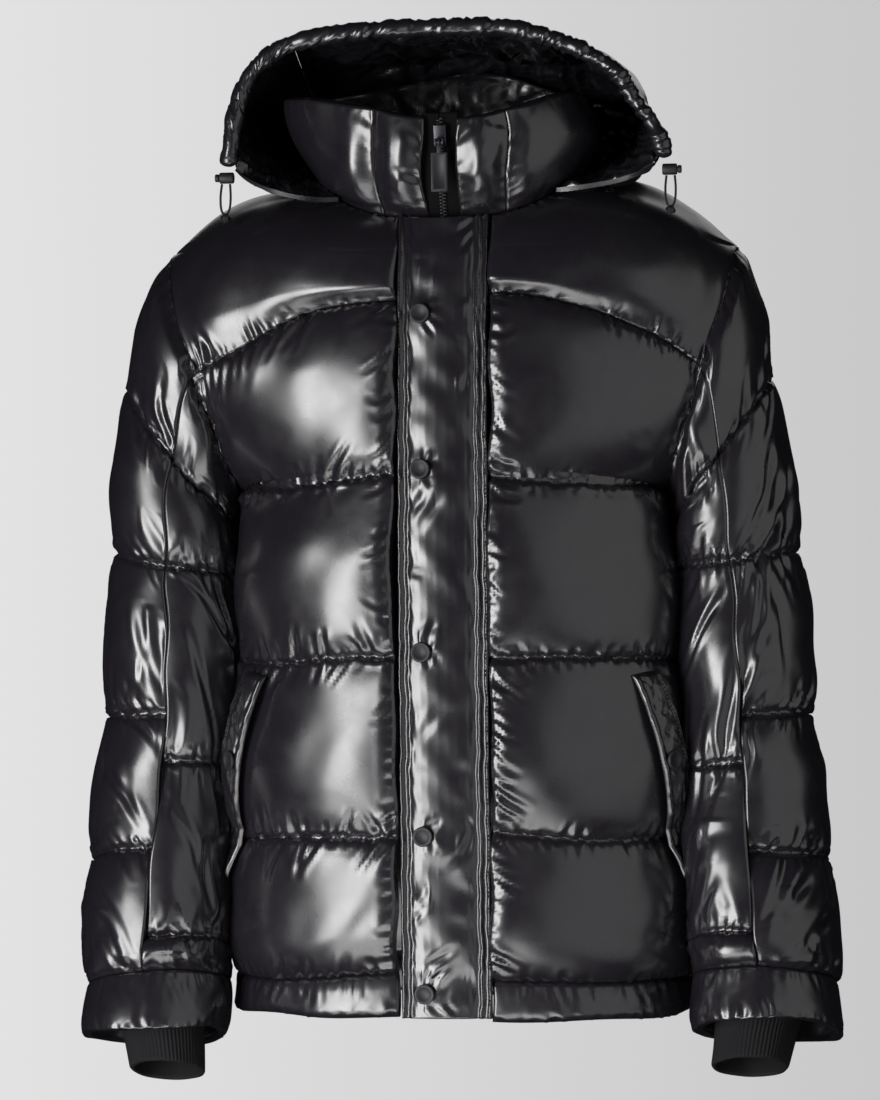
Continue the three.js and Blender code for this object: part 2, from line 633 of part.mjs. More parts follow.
function collarOutward(base, up) {
  const ahead = vec(base.x, base.y, 0).normalize();
  const rise = collarTopPoint(base).sub(base).normalize();
  return ahead.addScaledVector(rise, -ahead.dot(rise)).normalize();
}

function collarPuff(up, toEnd) {
  const rounded = Math.sin(Math.PI * (0.04 + 0.9 * up)) ** 0.6;
  const atEnd = lerp(0.25, 1, smoothstep(toEnd, 0, 16));
  return COLLAR_PUFF * Math.max(0, rounded) * atEnd * smoothstep(up, 0, 0.15);
}

// Collar grids between two stretches of the neck line, given as columns of base points
function collarPanel(bases, ends) {
  const ups = range(0, 1, COLLAR_STEPS);
  const distance = (p) => Math.min(...ends.map((end) => p.distanceTo(end)));
  const outer = ups.map((up) => bases.map((base) => collarPoint(base, up)
    .addScaledVector(collarOutward(base, up), collarPuff(up, distance(base)))));
  const inner = ups.map((up) => bases.map((base) => collarPoint(base, up)
    .addScaledVector(collarOutward(base, up), -WALL)));
  const edges = { last: false };
  return [clearEdges(outer, edges), clearEdges(inner, edges)];
}

const collarSeamPoint = (() => {
  const next = NECK_LINE.findIndex((p) => p.x > COLLAR_SEAM);
  const t = (COLLAR_SEAM - NECK_LINE[next - 1].x) / (NECK_LINE[next].x - NECK_LINE[next - 1].x);
  return { point: mix(NECK_LINE[next - 1], NECK_LINE[next], t), next };
})();

const flapBases = [...NECK_LINE.slice(0, collarSeamPoint.next), collarSeamPoint.point];
const roundBases = [collarSeamPoint.point, ...NECK_LINE.slice(collarSeamPoint.next)];

function addCollar() {
  const flapEnds = [flapBases[0], flapBases[flapBases.length - 1]];
  addPair('collar_flap', ...collarPanel(flapBases, flapEnds));
  const other = roundBases.slice(0, -1).reverse().map((p) => vec(-p.x, p.y, p.z));
  const whole = [...roundBases, ...other];
  addWall('collar', ...collarPanel(whole, [whole[0], whole[whole.length - 1]]));
}
addCollar();

// Hood. side is -1 or 1, rib runs from the lower corner (0) to the middle (4), and back from the
// opening's edge (0) to the neck seam (1).
function hoodBase(rib) {
  const share = columnAt(HOOD_RIBS, 'neck', rib);
  const base = alongLine([...flapBases.slice(0, -1), ...roundBases], share);
  const up = HOOD_LIFT / 90;
  const outward = collarOutward(base, up);
  return collarPoint(base, up).addScaledVector(outward, collarPuff(up, 99) + WALL + 1);
}

function hoodControl(rib, name) {
  const part = (axis) => columnAt(HOOD_RIBS.map((row) => ({ v: row[name][axis] })), 'v', rib);
  return vec(part(0), part(1), part(2));
}

function hoodPoint(place, back) {
  const rib = 4 - Math.abs(4 - place);
  const edge = hoodControl(rib, 'edge');
  const crown = hoodControl(rib, 'crown');
  const nape = hoodControl(rib, 'nape');
  const curve = new THREE.CubicBezierCurve3(edge, crown, nape, hoodBase(rib));
  const point = curve.getPoint(back);
  return place > 4 ? vec(-point.x, point.y, point.z) : point;
}

function hoodOutward(place, back) {
  const step = 0.04;
  const across = hoodPoint(Math.min(8, place + step), back).sub(hoodPoint(Math.max(0, place - step), back));
  const along = hoodPoint(place, Math.min(1, back + step)).sub(hoodPoint(place, Math.max(0, back - step)));
  return along.cross(across).normalize();
}

// Where a panel starts behind the opening's edge, as a share of its line
function hoodStart(place) {
  const rib = 4 - Math.abs(4 - place);
  return CASING_CLEAR / (3 * hoodControl(rib, 'edge').distanceTo(hoodControl(rib, 'crown')));
}

function hoodPuff(back, toSeam) {
  return HOOD_PUFF * channelBulge(HOOD_LINES, back) * lerp(0.2, 1, smoothstep(toSeam, 0, 0.5));
}

function hoodPanel(from, to, steps) {
  const backs = [];
  for (let i = 0; i < HOOD_LINES.length - 1; i += 1) {
    backs.push(...range(HOOD_LINES[i], HOOD_LINES[i + 1], HOOD_STEPS).slice(i ? 1 : 0));
  }
  const places = range(from, to, steps);
  const backAt = (back, place) => Math.max(back, hoodStart(place));
  const toSeam = (place) => Math.min(place - from, to - place);
  const outer = backs.map((back) => places.map((place) => hoodPoint(place, backAt(back, place))
    .addScaledVector(hoodOutward(place, back), hoodPuff(back, toSeam(place)))));
  const inner = backs.map((back) => places.map((place) => hoodPoint(place, backAt(back, place))
    .addScaledVector(hoodOutward(place, back), -WALL)));
  return [clearEdges(outer), clearEdges(inner)];
}

function addHood() {
  const [outer, inner] = hoodPanel(0, HOOD_SEAM, 9);
  addPair('hood_side', outer, inner);
  addWall('hood_centre', ...hoodPanel(HOOD_SEAM, 8 - HOOD_SEAM, 8));
}
addHood();

// Surface of the tube along a line of points, closed at both ends
function tubeGeometry(points, radiusAt, sides) {
  const curve = new THREE.CatmullRomCurve3(points);
  const steps = points.length * 2 - 2;
  const frames = curve.computeFrenetFrames(steps, false);
  const ring = (i) => range(0, 2 * Math.PI, sides).slice(0, -1).map((a) => {
    const radius = radiusAt(i / steps);
    return curve.getPoint(i / steps)
      .addScaledVector(frames.normals[i], radius * Math.cos(a))
      .addScaledVector(frames.binormals[i], radius * Math.sin(a));
  });
  const rings = range(0, steps, steps).map(ring);
  const all = [...rings.flat(), points[0].clone(), points[points.length - 1].clone()];
  const faces = [];
  const at = (r, c) => r * sides + (c % sides);
  for (let c = 0; c < sides; c += 1) {
    for (let r = 0; r < steps; r += 1) {
      faces.push(at(r, c), at(r, c + 1), at(r + 1, c + 1), at(r, c), at(r + 1, c + 1), at(r + 1, c));
    }
    faces.push(all.length - 2, at(0, c + 1), at(0, c));
    faces.push(all.length - 1, at(steps, c), at(steps, c + 1));
  }
  return facingOut(all, faces);
}

// Casing round the hood's opening: a padded roll in front of the panels' edges
function addBrim() {
  const places = range(0, 8, 17);
  const ahead = (place) => hoodPoint(place, 0).sub(hoodPoint(place, 0.02)).normalize();
  const points = places.map((place) => hoodPoint(place, 0).addScaledVector(ahead(place), BRIM_RADIUS));
  addPiece('hood_casing', tubeGeometry(points, () => BRIM_RADIUS, 8), shellBlack);
}
addBrim();

// Drawcord ends: a cord with a knot at its end, hanging from a lock at the hood's lower corner
function addDrawcord(side, name) {
  const route = CORD_ROUTE.map(([x, y, z]) => vec(side * x, y, z));
  const path = new THREE.CatmullRomCurve3(route);
  const section = new THREE.Shape(range(0, 2 * Math.PI, CORD_SIDES).slice(0, -1)
    .map((a) => new THREE.Vector2(Math.cos(a), Math.sin(a)).multiplyScalar(CORD_DIAMETER / 2)));
  const cord = new THREE.ExtrudeGeometry(section, { steps: 16, extrudePath: path });
  addPiece(`drawcord_${name}`, cord, ribBlack);
  const lowest = route[(route.length - 1) / 2];
  const knot = addPiece(`drawcord_knot_${name}`, new THREE.SphereGeometry(KNOT_RADIUS, 8, 6), ribBlack);
  knot.position.copy(lowest).add(vec(0, 0, -CORD_DIAMETER / 2 - KNOT_RADIUS - SEAM_GAP));
  const lock = addPiece(
    `cord_lock_${name}`,
    new THREE.CapsuleGeometry(LOCK.radius, LOCK.length - 2 * LOCK.radius, 3, 8),
    plasticBlack,
  );
  lock.rotation.z = Math.PI / 2;
  lock.position.set(side * LOCK.x, LOCK.y, LOCK.z);
}
addDrawcord(1, 'left');
addDrawcord(-1, 'right');

// Zip tapes, one behind each front edge, from the hem to the top of the collar
function tapeLine() {
  const body = bodyHeights.slice(0, -1);
  const rows = body.map((place) => (x) => ({
    point: bodyPoint(place, x, -1),
    outward: bodyOutward(place, x, -1),
  }));
  const ups = range(0, 1, COLLAR_STEPS);
  const collar = ups.map((up) => (x) => {
    const base = bodyPoint(NECK, x, -1);
    return { point: collarPoint(base, up), outward: collarOutward(base, up) };
  });
  return [...rows, ...collar];
}

function addTapes() {
  const rows = tapeLine();
  const xs = [SEAM_GAP / 2, CHAIN_HALF, CHAIN_HALF + 0.4, TAPE_HALF];
  const thick = [CHAIN_THICK, CHAIN_THICK, TAPE_THICK, TAPE_THICK];
  const behind = -WALL - TAPE_CLEAR - TAPE_THICK;
  const lifted = (row, x, lift) => {
    const { point, outward } = row(x);
    return point.addScaledVector(outward, lift);
  };
  const outer = rows.map((row) => xs.map((x, i) => lifted(row, x, behind + thick[i])));
  const inner = rows.map((row) => xs.map((x) => lifted(row, x, behind)));
  addPair('zip_tape', outer, inner, ribBlack);
}
addTapes();

// Turns a closed geometry into a solid that can be joined to another
function toSolid(geometry) {
  const bare = geometry.clone();
  bare.deleteAttribute('normal');
  bare.deleteAttribute('uv');
  const merged = mergeVertices(bare, 1e-4);
  return new wasm.Manifold(new wasm.Mesh({
    numProp: 3,
    vertProperties: new Float32Array(merged.attributes.position.array),
    triVerts: new Uint32Array(merged.index.array),
  }));
}

function joined(geometries) {
  const whole = geometries.map(toSolid).reduce((a, b) => a.add(b)).getMesh();
  const geometry = new THREE.BufferGeometry();
  geometry.setAttribute('position', new THREE.BufferAttribute(whole.vertProperties, 3));
  geometry.setIndex(new THREE.BufferAttribute(whole.triVerts, 1));
  geometry.computeVertexNormals();
  return geometry;
}

// Slider: a plate on the closed chain with two ears and a pin. Its pull hangs straight down.
function addSlider() {
  const base = bodyPoint(NECK, 0, -1);
  const up = (SLIDER_Z - base.z) / (COLLAR_TOP.frontZ - base.z);
  const outward = collarOutward(base, up);
  const chainFront = CHAIN_THICK - WALL - TAPE_CLEAR - TAPE_THICK;
  const seat = collarPoint(base, up)
    .addScaledVector(outward, chainFront + SLIDER.thick / 2 + SLIDER.clear);
  const turn = new THREE.Quaternion().setFromUnitVectors(vec(0, -1, 0), outward);
  const plate = new THREE.BoxGeometry(SLIDER.width, SLIDER.thick, SLIDER.height)
    .applyQuaternion(turn).translate(seat.x, seat.y, seat.z);
  const hinge = seat.clone().addScaledVector(outward, HINGE_OUT).add(vec(0, 0, -HINGE_DROP));
  const earAt = PULL.eyeWidth / 2 + PULL.eyeClear + EAR.thick / 2;
  const ears = [-1, 1].map((side) => new THREE.BoxGeometry(EAR.thick, EAR.depth, EAR.height)
    .translate(side * earAt, hinge.y + EAR.back, hinge.z + EAR.up));
  const pin = new THREE.CylinderGeometry(PIN_RADIUS, PIN_RADIUS, earAt * 2, 16)
    .rotateZ(Math.PI / 2).translate(0, hinge.y, hinge.z);
  addPiece('zip_slider', joined([plate, ...ears, pin]), metalBlack);
  addPiece('zip_pull', joined([pullEye(hinge), pullTab(hinge)]), plasticBlack);
}

function pullEye(hinge) {
  const half = PULL.eyeWidth / 2;
  const { eyeInner, eyeOuter } = PULL;
  const corners = [[eyeInner, -half], [eyeOuter, -half], [eyeOuter, half], [eyeInner, half]];
  const ring = [...corners, corners[0]];
  return new THREE.LatheGeometry(ring.map(([r, s]) => new THREE.Vector2(r, s)), 24)
    .rotateZ(Math.PI / 2).translate(0, hinge.y, hinge.z);
}

// Flat tab with a narrow neck, hanging in front of the zip
function pullTab(hinge) {
  const top = hinge.z - PULL.eyeOuter + PULL.eyeBite;
  const end = hinge.z - PULL.length - top;
  const neck = PULL.eyeWidth / 2;
  const half = PULL.width / 2;
  const { corner, neckLength, shoulder } = PULL;
  const upper = [[neck, 0], [neck, -neckLength], [half, -shoulder]];
  const side = [...upper, [half, end + corner], [half - corner, end]];
  const outline = [...side, ...side.map(([x, y]) => [-x, y]).reverse()];
  const shape = new THREE.Shape(outline.map(([x, y]) => new THREE.Vector2(x, y)));
  return new THREE.ExtrudeGeometry(shape, { depth: PULL.thick, bevelEnabled: false })
    .applyMatrix4(new THREE.Matrix4().makeBasis(vec(1, 0, 0), vec(0, 0, 1), vec(0, -1, 0)))
    .translate(0, hinge.y + PULL.thick / 2, top);
}
addSlider();

export default jacket;
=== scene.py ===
"""A hooded puffer jacket in glossy coated nylon, filled out as if worn.

The front faces -Y, +Z is up and +X is the wearer's left. Tables and sizes are in millimetres and
become metres when a mesh is made. Each padded panel is a fine grid over its solid, swollen by
Blender's cloth simulation between its seams, and closed into a wall with its lining.
"""

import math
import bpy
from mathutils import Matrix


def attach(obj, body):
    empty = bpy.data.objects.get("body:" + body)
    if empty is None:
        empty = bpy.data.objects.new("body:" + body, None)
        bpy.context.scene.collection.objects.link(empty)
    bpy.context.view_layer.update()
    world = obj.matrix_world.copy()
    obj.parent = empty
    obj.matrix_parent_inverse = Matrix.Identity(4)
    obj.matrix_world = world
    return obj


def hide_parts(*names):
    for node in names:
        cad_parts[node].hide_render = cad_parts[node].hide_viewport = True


bl_info = {
    "name": "Puffer Jacket",
    "version": (1, 0, 0),
    "blender": (4, 5, 0),
    "location": "View3D > Sidebar > Jacket",
    "description": "Builds a hooded puffer jacket over its construction solids",
    "category": "Object",
}

import bmesh
import bpy
import numpy as np
from mathutils import Matrix, Vector

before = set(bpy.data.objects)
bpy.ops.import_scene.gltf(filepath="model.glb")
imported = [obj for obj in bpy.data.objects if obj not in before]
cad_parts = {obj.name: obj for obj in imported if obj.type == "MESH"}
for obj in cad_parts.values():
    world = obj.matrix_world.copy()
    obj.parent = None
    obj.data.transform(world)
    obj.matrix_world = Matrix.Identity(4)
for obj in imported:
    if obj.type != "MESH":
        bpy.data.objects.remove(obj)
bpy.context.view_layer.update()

MM = 0.001

# Cloth and seams
WALL = 3.2
SEAM_GAP = 0.3
BODY_PUFF = 20
YOKE_PUFF = 13
SLEEVE_PUFF = 12
CUFF_PUFF = 5
COLLAR_PUFF = 10
HOOD_PUFF = 10

# Front opening
PLACKET_HALF = 35
PLACKET_THICK = 3.9
PLACKET_CROWN = 2.2
PLACKET_CLEAR = 0.45
FRONT_EDGE = 9
COLLAR_EDGE = 12.4
COLLAR_SEAM = 47
TAPE_HALF = 15
TAPE_THICK = 1.4
TAPE_CLEAR = 0.9
CHAIN_HALF = 2.6
CHAIN_THICK = 3

# Armhole and neck
SHOULDER_TIP = (222, -27)
UNDERARM = (168, -224)
ARMHOLE_DEPTH = 72
SHOULDER_RISE = 21
NECK_SIDE = (96, 2, 20)

# Body lines from the hem up, each a seam or an edge
BODY_LINES = [
    {"line": "hem", "front_y": -123, "front_z": -625, "back_y": 119, "back_z": -641, "side_x": 183, "side_z": -634},
    {"line": "casing", "front_y": -123, "front_z": -595, "back_y": 118, "back_z": -611, "side_x": 182, "side_z": -605},
    {"line": "lower", "front_y": -124, "front_z": -484, "back_y": 113, "back_z": -495, "side_x": 177, "side_z": -494},
    {"line": "middle", "front_y": -124, "front_z": -348, "back_y": 109, "back_z": -355, "side_x": 174, "side_z": -354},
    {"line": "chest", "front_y": -119, "front_z": -210, "back_y": 110, "back_z": -222, "side_x": 168, "side_z": -224},
    {"line": "yoke", "front_y": -108, "front_z": -71, "back_y": 102, "back_z": -112, "side_x": 193, "side_z": -130},
    {"line": "neck", "front_y": -92, "front_z": -11, "back_y": 66, "back_z": 22, "side_x": 96, "side_z": 20},
]
CHEST = 4
YOKE = 5
SHOULDER = 5.5
NECK = 6
SQUARENESS = 2.3

# Sleeve rings from the armhole down
SLEEVE_RINGS = [
    {"ring": "armhole", "outer_x": 222, "outer_z": -27, "inner_x": 168, "inner_z": -224, "y": 0, "depth": 72, "lean": 0},
    {"ring": "cap", "outer_x": 250, "outer_z": -136, "inner_x": 171, "inner_z": -252, "y": -2, "depth": 63, "lean": 0},
    {"ring": "upper", "outer_x": 267, "outer_z": -271, "inner_x": 169, "inner_z": -288, "y": -6, "depth": 60, "lean": 2},
    {"ring": "elbow", "outer_x": 277, "outer_z": -401, "inner_x": 171, "inner_z": -405, "y": -15, "depth": 59, "lean": 8},
    {"ring": "fore", "outer_x": 288, "outer_z": -514, "inner_x": 177, "inner_z": -510, "y": -34, "depth": 57, "lean": 14},
    {"ring": "cuff", "outer_x": 294, "outer_z": -608, "inner_x": 184, "inner_z": -605, "y": -57, "depth": 57, "lean": 16},
    {"ring": "end", "outer_x": 297, "outer_z": -650, "inner_x": 189, "inner_z": -647, "y": -68, "depth": 59, "lean": 16},
]
CUFF = 5
SLEEVE_END = 6
SLEEVE_SQUARENESS = 2.15
OUTER_LINES = [0, 1, 2, 3, 4, 5]
UNDER_LINES = [0, 1, 2, 10 / 3, 14 / 3, 5]

# Rib cuff, from the seam inside the cuff band to its free end
RIB_RINGS = [
    {"ring": "seam", "x": 245, "y": -59.5, "z": -619, "width": 43.9, "depth": 52.2, "lean": 16},
    {"ring": "waist", "x": 236, "y": -66, "z": -640, "width": 33, "depth": 37, "lean": 18},
    {"ring": "end", "x": 230, "y": -80, "z": -674, "width": 29, "depth": 32, "lean": 22},
]
RIB_WALL = 2.2

COLLAR_TOP = {"front_y": -116, "front_z": 68, "side_x": 122, "side_y": 2, "side_z": 93, "back_y": 84, "back_z": 118}

# Hood ribs from one lower corner to the middle
HOOD_RIBS = [
    {"edge": (166, -66, 31), "crown": (150, -72, 15), "nape": (122, -72, 9), "neck": 0.30},
    {"edge": (168, -60, 72), "crown": (175, 0, 72), "nape": (152, 52, 48), "neck": 0.44},
    {"edge": (150, -58, 112), "crown": (172, 50, 120), "nape": (152, 120, 50), "neck": 0.60},
    {"edge": (92, -60, 137), "crown": (106, 78, 164), "nape": (100, 182, 62), "neck": 0.80},
    {"edge": (0, -60, 142), "crown": (0, 84, 176), "nape": (0, 206, 68), "neck": 1.0},
]
HOOD_SEAM = 2.7
HOOD_LINES = [0, 0.36, 0.68, 1]
HOOD_LIFT = 9
BRIM_RADIUS = 7
CASING_CLEAR = 2.2

# Press studs
STUD_X = -16.5
STUD_LEVELS = [-85, -204, -344, -485, -606]
STUD_RADIUS = 7.7
STUD_THICK = 2.4
STUD_CLEAR = 0.6

# Pocket welts
WELT_TOP = {"angle": 56, "z": -362}
WELT_BOTTOM = {"angle": 73, "z": -522}
WELT_RADIUS = 133
WELT_TILT = 0.15
WELT_WIDTH = 24
WELT_THICK = 3.4
WELT_BRIDGE = 8
WELT_CLEAR = 0.6

# Hood drawcords, from the lock at the hood's lower corner down to the knot and back
CORD_DIAMETER = 1.8
CORD_ROUTE = [
    (171.2, -67, 21.7), (170.7, -68.4, 17), (170.4, -69.5, 12), (170.5, -70.4, 7), (170.9, -71.1, 3),
    (172, -71.6, -0.6), (174.4, -71.8, -2.6), (176.8, -71.6, -0.6), (177.9, -71.1, 3),
    (178.3, -70.4, 7), (178.4, -69.5, 12), (178.1, -68.4, 17), (177.6, -67, 21.7),
]

GRID = 4.5
SEED = 7


def linear(hex_colour):
    """An sRGB hex colour as linear RGBA"""
    parts = [int(hex_colour[i:i + 2], 16) / 255 for i in (1, 3, 5)]
    return [c / 12.92 if c <= 0.04045 else ((c + 0.055) / 1.055) ** 2.4 for c in parts] + [1]


def smoothstep(value, low, high):
    t = np.clip((value - low) / (high - low), 0, 1)
    return t * t * (3 - 2 * t)


def blend(a, b, t):
    return a + (b - a) * t


def points(x, y, z):
    """Points from arrays or numbers of their coordinates"""
    return np.stack(np.broadcast_arrays(x, y, z), -1).astype(float)


def unit(vectors):
    return vectors / np.maximum(np.linalg.norm(vectors, axis=-1, keepdims=True), 1e-9)


def column_at(table, name, place):
    """Smooth value of one column of a table at places between its rows"""
    values = np.array([row[name] for row in table], float)
    last = len(values) - 1
    place = np.asarray(place, float)
    i = np.clip(np.floor(place).astype(int), 0, last - 1)
    t = place - i
    if values.ndim > 1:
        t = t[..., None]
    p0, p1, p2, p3 = (values[np.clip(i + k, 0, last)] for k in (-1, 0, 1, 2))
    slope_in = (p2 - p0) / 2
    slope_out = (p3 - p1) / 2
    t2 = t * t
    t3 = t2 * t
    return ((2 * t3 - 3 * t2 + 1) * p1 + (t3 - 2 * t2 + t) * slope_in
            + (3 * t2 - 2 * t3) * p2 + (t3 - t2) * slope_out)


def bulge(t):
    """Rounded rise and fall across one channel, from seam to seam"""
    return np.sin(np.pi * np.clip(t, 0, 1)) ** 0.5


def channel_bulge(lines, place):
    lines = np.asarray(lines, float)
    i = np.clip(np.searchsorted(lines, place, side="left") - 1, 0, len(lines) - 2)
    return bulge((place - lines[i]) / (lines[i + 1] - lines[i]))


# The body


def rounded_sine(a, squareness):
    rest = np.maximum(0, 1 - np.abs(np.cos(a)) ** squareness)
    return np.sign(np.sin(a)) * rest ** (1 / squareness)


def armhole_point(a, face):
    """Point on the armhole's oval: 0 is the shoulder tip and pi the underarm"""
    swing = np.cos(a)
    return points(
        (SHOULDER_TIP[0] + UNDERARM[0]) / 2 + (SHOULDER_TIP[0] - UNDERARM[0]) / 2 * swing,
        face * ARMHOLE_DEPTH * rounded_sine(a, SLEEVE_SQUARENESS),
        (SHOULDER_TIP[1] + UNDERARM[1]) / 2 + (SHOULDER_TIP[1] - UNDERARM[1]) / 2 * swing,
    )


def armhole_angle(place):
    lower = blend(180, 90, place - CHEST)
    upper = blend(90, 0, np.minimum(1, (place - YOKE) * 2))
    return np.radians(np.where(place < YOKE, lower, upper))


def armhole_outward(a, face, towards_arm):
    middle = points((SHOULDER_TIP[0] + UNDERARM[0]) / 2, 0, (SHOULDER_TIP[1] + UNDERARM[1]) / 2)
    radius = unit(armhole_point(a, face) - middle)
    share = 0.93 * smoothstep(np.degrees(a), 95, 180)[..., None]
    return unit(radius * (1 - share) + points(towards_arm, 0, 0) * share)


def body_row(place, face):
    """The line round the body at each place: its middle, its end at the side, and how it bends"""
    side_name = "front" if face < 0 else "back"
    middle_y = column_at(BODY_LINES, side_name + "_y", place)
    middle_z = column_at(BODY_LINES, side_name + "_z", place)
    low = points(column_at(BODY_LINES, "side_x", place), 0, column_at(BODY_LINES, "side_z", place))
    arm_angle = armhole_angle(place)
    along = np.clip((place - SHOULDER) * 2, 0, 1)[..., None]
    tip = armhole_point(np.zeros_like(place), face)
    shoulder = tip + (np.array(NECK_SIDE) - tip) * along
    shoulder[..., 2] += SHOULDER_RISE * np.sin(np.pi * along[..., 0])
    under = place <= CHEST
    beside = place <= SHOULDER
    side = np.where(under[..., None], low, np.where(beside[..., None], armhole_point(arm_angle, face), shoulder))
    turn = np.where(~under & beside, 1 - 0.2 * np.sin(arm_angle), 1)
    bow = np.where(under, 2, np.where(beside, 2.8, 2.4))
    return middle_y, middle_z, side, turn, bow


def body_point(place, angle, face):
    """Point of the body's seam surface. angle turns from the middle, 0, to the side, a quarter turn."""
    place, angle = np.broadcast_arrays(np.asarray(place, float), np.asarray(angle, float))
    middle_y, middle_z, side, turn, bow = body_row(place, face)
    across = np.abs(np.sin(angle))

    def depth_at(q):
        return 1 - np.maximum(0, 1 - q ** SQUARENESS) ** (1 / SQUARENESS)

    swing = depth_at(across * turn) / depth_at(turn)
    return points(
        side[..., 0] * np.sin(angle),
        blend(middle_y, side[..., 1], swing),
        blend(middle_z, side[..., 2], across ** bow),
    )


def body_normal(place, angle, face):
    step = 0.03
    limit = np.pi / 2
    across = body_point(place, np.minimum(limit, angle + step), face) - body_point(place, angle - step, face)
    up = (body_point(np.minimum(NECK, place + step), angle, face)
          - body_point(np.maximum(0, place - step), angle, face))
    return unit(np.cross(across, up)) * -face


def body_outward(place, angle, face):
    """Direction of the wall's thickness, shared by both halves at the side seam and the shoulder"""
    turned = np.abs(angle)
    normal = body_normal(place, turned, face)
    shared = unit(normal + body_normal(place, turned, -face))
    at_arm = armhole_outward(armhole_angle(np.clip(place, CHEST, SHOULDER)), face, 1)
    beside_arm = ((place > CHEST) & (place < SHOULDER))[..., None]
    near = smoothstep(turned, math.radians(72), math.radians(90))[..., None]
    normal = unit(blend(normal, np.where(beside_arm, at_arm, shared), near))
    return normal * points(np.where(angle < 0, -1, 1), 1, 1)


def body_puff(place, angle, face):
    """How full the body is: nothing along the placket, little at seams, full in the middle"""
    x = np.abs(body_row(place, face)[2][..., 0] * np.sin(angle))
    to_side = (np.pi / 2 - np.abs(angle)) / (np.pi / 2)
    beside_placket = blend(0.75, 1, smoothstep(x, PLACKET_HALF + 1, PLACKET_HALF + 10)) if face < 0 else 1
    t = place - YOKE
    rise = smoothstep(t, 0, 0.13) * (1 - 0.6 * t) * (1 - np.clip(t, 0, 1) ** 5)
    at_side = blend(0.1, 0.4, smoothstep(place, SHOULDER, SHOULDER + 0.2))
    yoke_side = blend(at_side, 1, smoothstep(to_side, 0.02, 0.35))
    yoke = YOKE_PUFF * rise * yoke_side
    under_arm = blend(0.35, 0.1, smoothstep(place, CHEST - 0.6, CHEST))
    low_side = blend(under_arm, 1, smoothstep(to_side, 0.04, np.where(place > CHEST, 0.42, 0.27)))
    height = np.where(place < 1, 0.4, 1)
    low = BODY_PUFF * height * channel_bulge(range(NECK + 1), place) * low_side
    return np.where(place > YOKE, yoke, low) * beside_placket


# The sleeves


def sleeve_point(place, angle):
    """Point of the sleeve's seam surface. angle 0 is outside, in degrees, and 180 beside the body."""
    place, angle = np.broadcast_arrays(np.asarray(place, float), np.asarray(angle, float))
    a = np.radians(angle)
    share = (1 + np.cos(a)) / 2
    back = -column_at(SLEEVE_RINGS, "depth", place) * rounded_sine(a, SLEEVE_SQUARENESS)
    lean = np.tan(np.radians(column_at(SLEEVE_RINGS, "lean", place)))
    x = blend(column_at(SLEEVE_RINGS, "inner_x", place), column_at(SLEEVE_RINGS, "outer_x", place), share)
    z = blend(column_at(SLEEVE_RINGS, "inner_z", place), column_at(SLEEVE_RINGS, "outer_z", place), share)
    return points(x, column_at(SLEEVE_RINGS, "y", place) + back, z - back * lean)


def sleeve_outward(place, angle):
    folded = np.abs(np.where(angle > 180, angle - 360, angle))
    across = sleeve_point(place, angle + 2) - sleeve_point(place, angle - 2)
    down = (sleeve_point(np.minimum(SLEEVE_END, place + 0.05), angle)
            - sleeve_point(np.maximum(0, place - 0.05), angle))
    normal = unit(np.cross(across, down))
    face = np.where(angle > 180, 1, -1)
    at_arm = armhole_outward(np.radians(folded), face, -1)
    near = (1 - smoothstep(place, 0, 0.12))[..., None]
    return unit(blend(normal, at_arm, near))


def sleeve_puff(place, angle, lines):
    folded = np.abs(np.where(angle > 180, angle - 360, angle))
    beside_body = blend(1, 0.12, smoothstep(folded, 110, 165))
    at_seam = blend(0.95, 1, smoothstep(np.abs(folded - 90), 0, 30))
    depth_share = blend(0.8, 1.15, np.sin(np.radians(folded)))
    reach = blend(0.2, 1.5, smoothstep(folded, 100, 150))
    near_armhole = smoothstep(place / reach, 0, 1)
    return SLEEVE_PUFF * channel_bulge(lines, place) * beside_body * at_seam * depth_share * near_armhole


# The collar. A base is a point of the neck seam, and up runs from the seam, 0, to the top edge, 1.


def neck_line():
    """Points of one side's neck seam, from the front middle to the back middle, and their distances"""
    start = math.asin(COLLAR_EDGE / NECK_SIDE[0])
    front = body_point(NECK, np.linspace(start, np.pi / 2, 120), -1)
    back = body_point(NECK, np.linspace(np.pi / 2, 0, 120), 1)
    line = np.concatenate([front, back[1:]])
    steps = np.linalg.norm(np.diff(line, axis=0), axis=1)
    return line, np.concatenate([[0], np.cumsum(steps)])


NECK_POINTS, NECK_DISTANCE = neck_line()
NECK_LENGTH = NECK_DISTANCE[-1]
SEAM_SHARE = np.interp(COLLAR_SEAM, NECK_POINTS[:100, 0], NECK_DISTANCE[:100]) / NECK_LENGTH


def neck_base(share):
    """Base at a share of the neck line. Shares past 1 come back along the other side."""
    folded = np.where(share > 1, 2 - share, share)
    at = folded * NECK_LENGTH
    base = points(*(np.interp(at, NECK_DISTANCE, NECK_POINTS[:, k]) for k in range(3)))
    return base * points(np.where(share > 1, -1, 1), 1, 1)


def collar_top(base):
    front = base[..., 1] < NECK_SIDE[1]
    across = np.minimum(1, np.abs(base[..., 0]) / NECK_SIDE[0])
    middle_y = np.where(front, COLLAR_TOP["front_y"], COLLAR_TOP["back_y"])
    middle_z = np.where(front, COLLAR_TOP["front_z"], COLLAR_TOP["back_z"])
    x = base[..., 0] * blend(1, COLLAR_TOP["side_x"] / NECK_SIDE[0], smoothstep(across, 0.15, 1))
    swing = 1 - np.maximum(0, 1 - across ** SQUARENESS) ** (1 / SQUARENESS)
    return points(x, blend(middle_y, COLLAR_TOP["side_y"], swing),
                  blend(middle_z, COLLAR_TOP["side_z"], across ** 2))


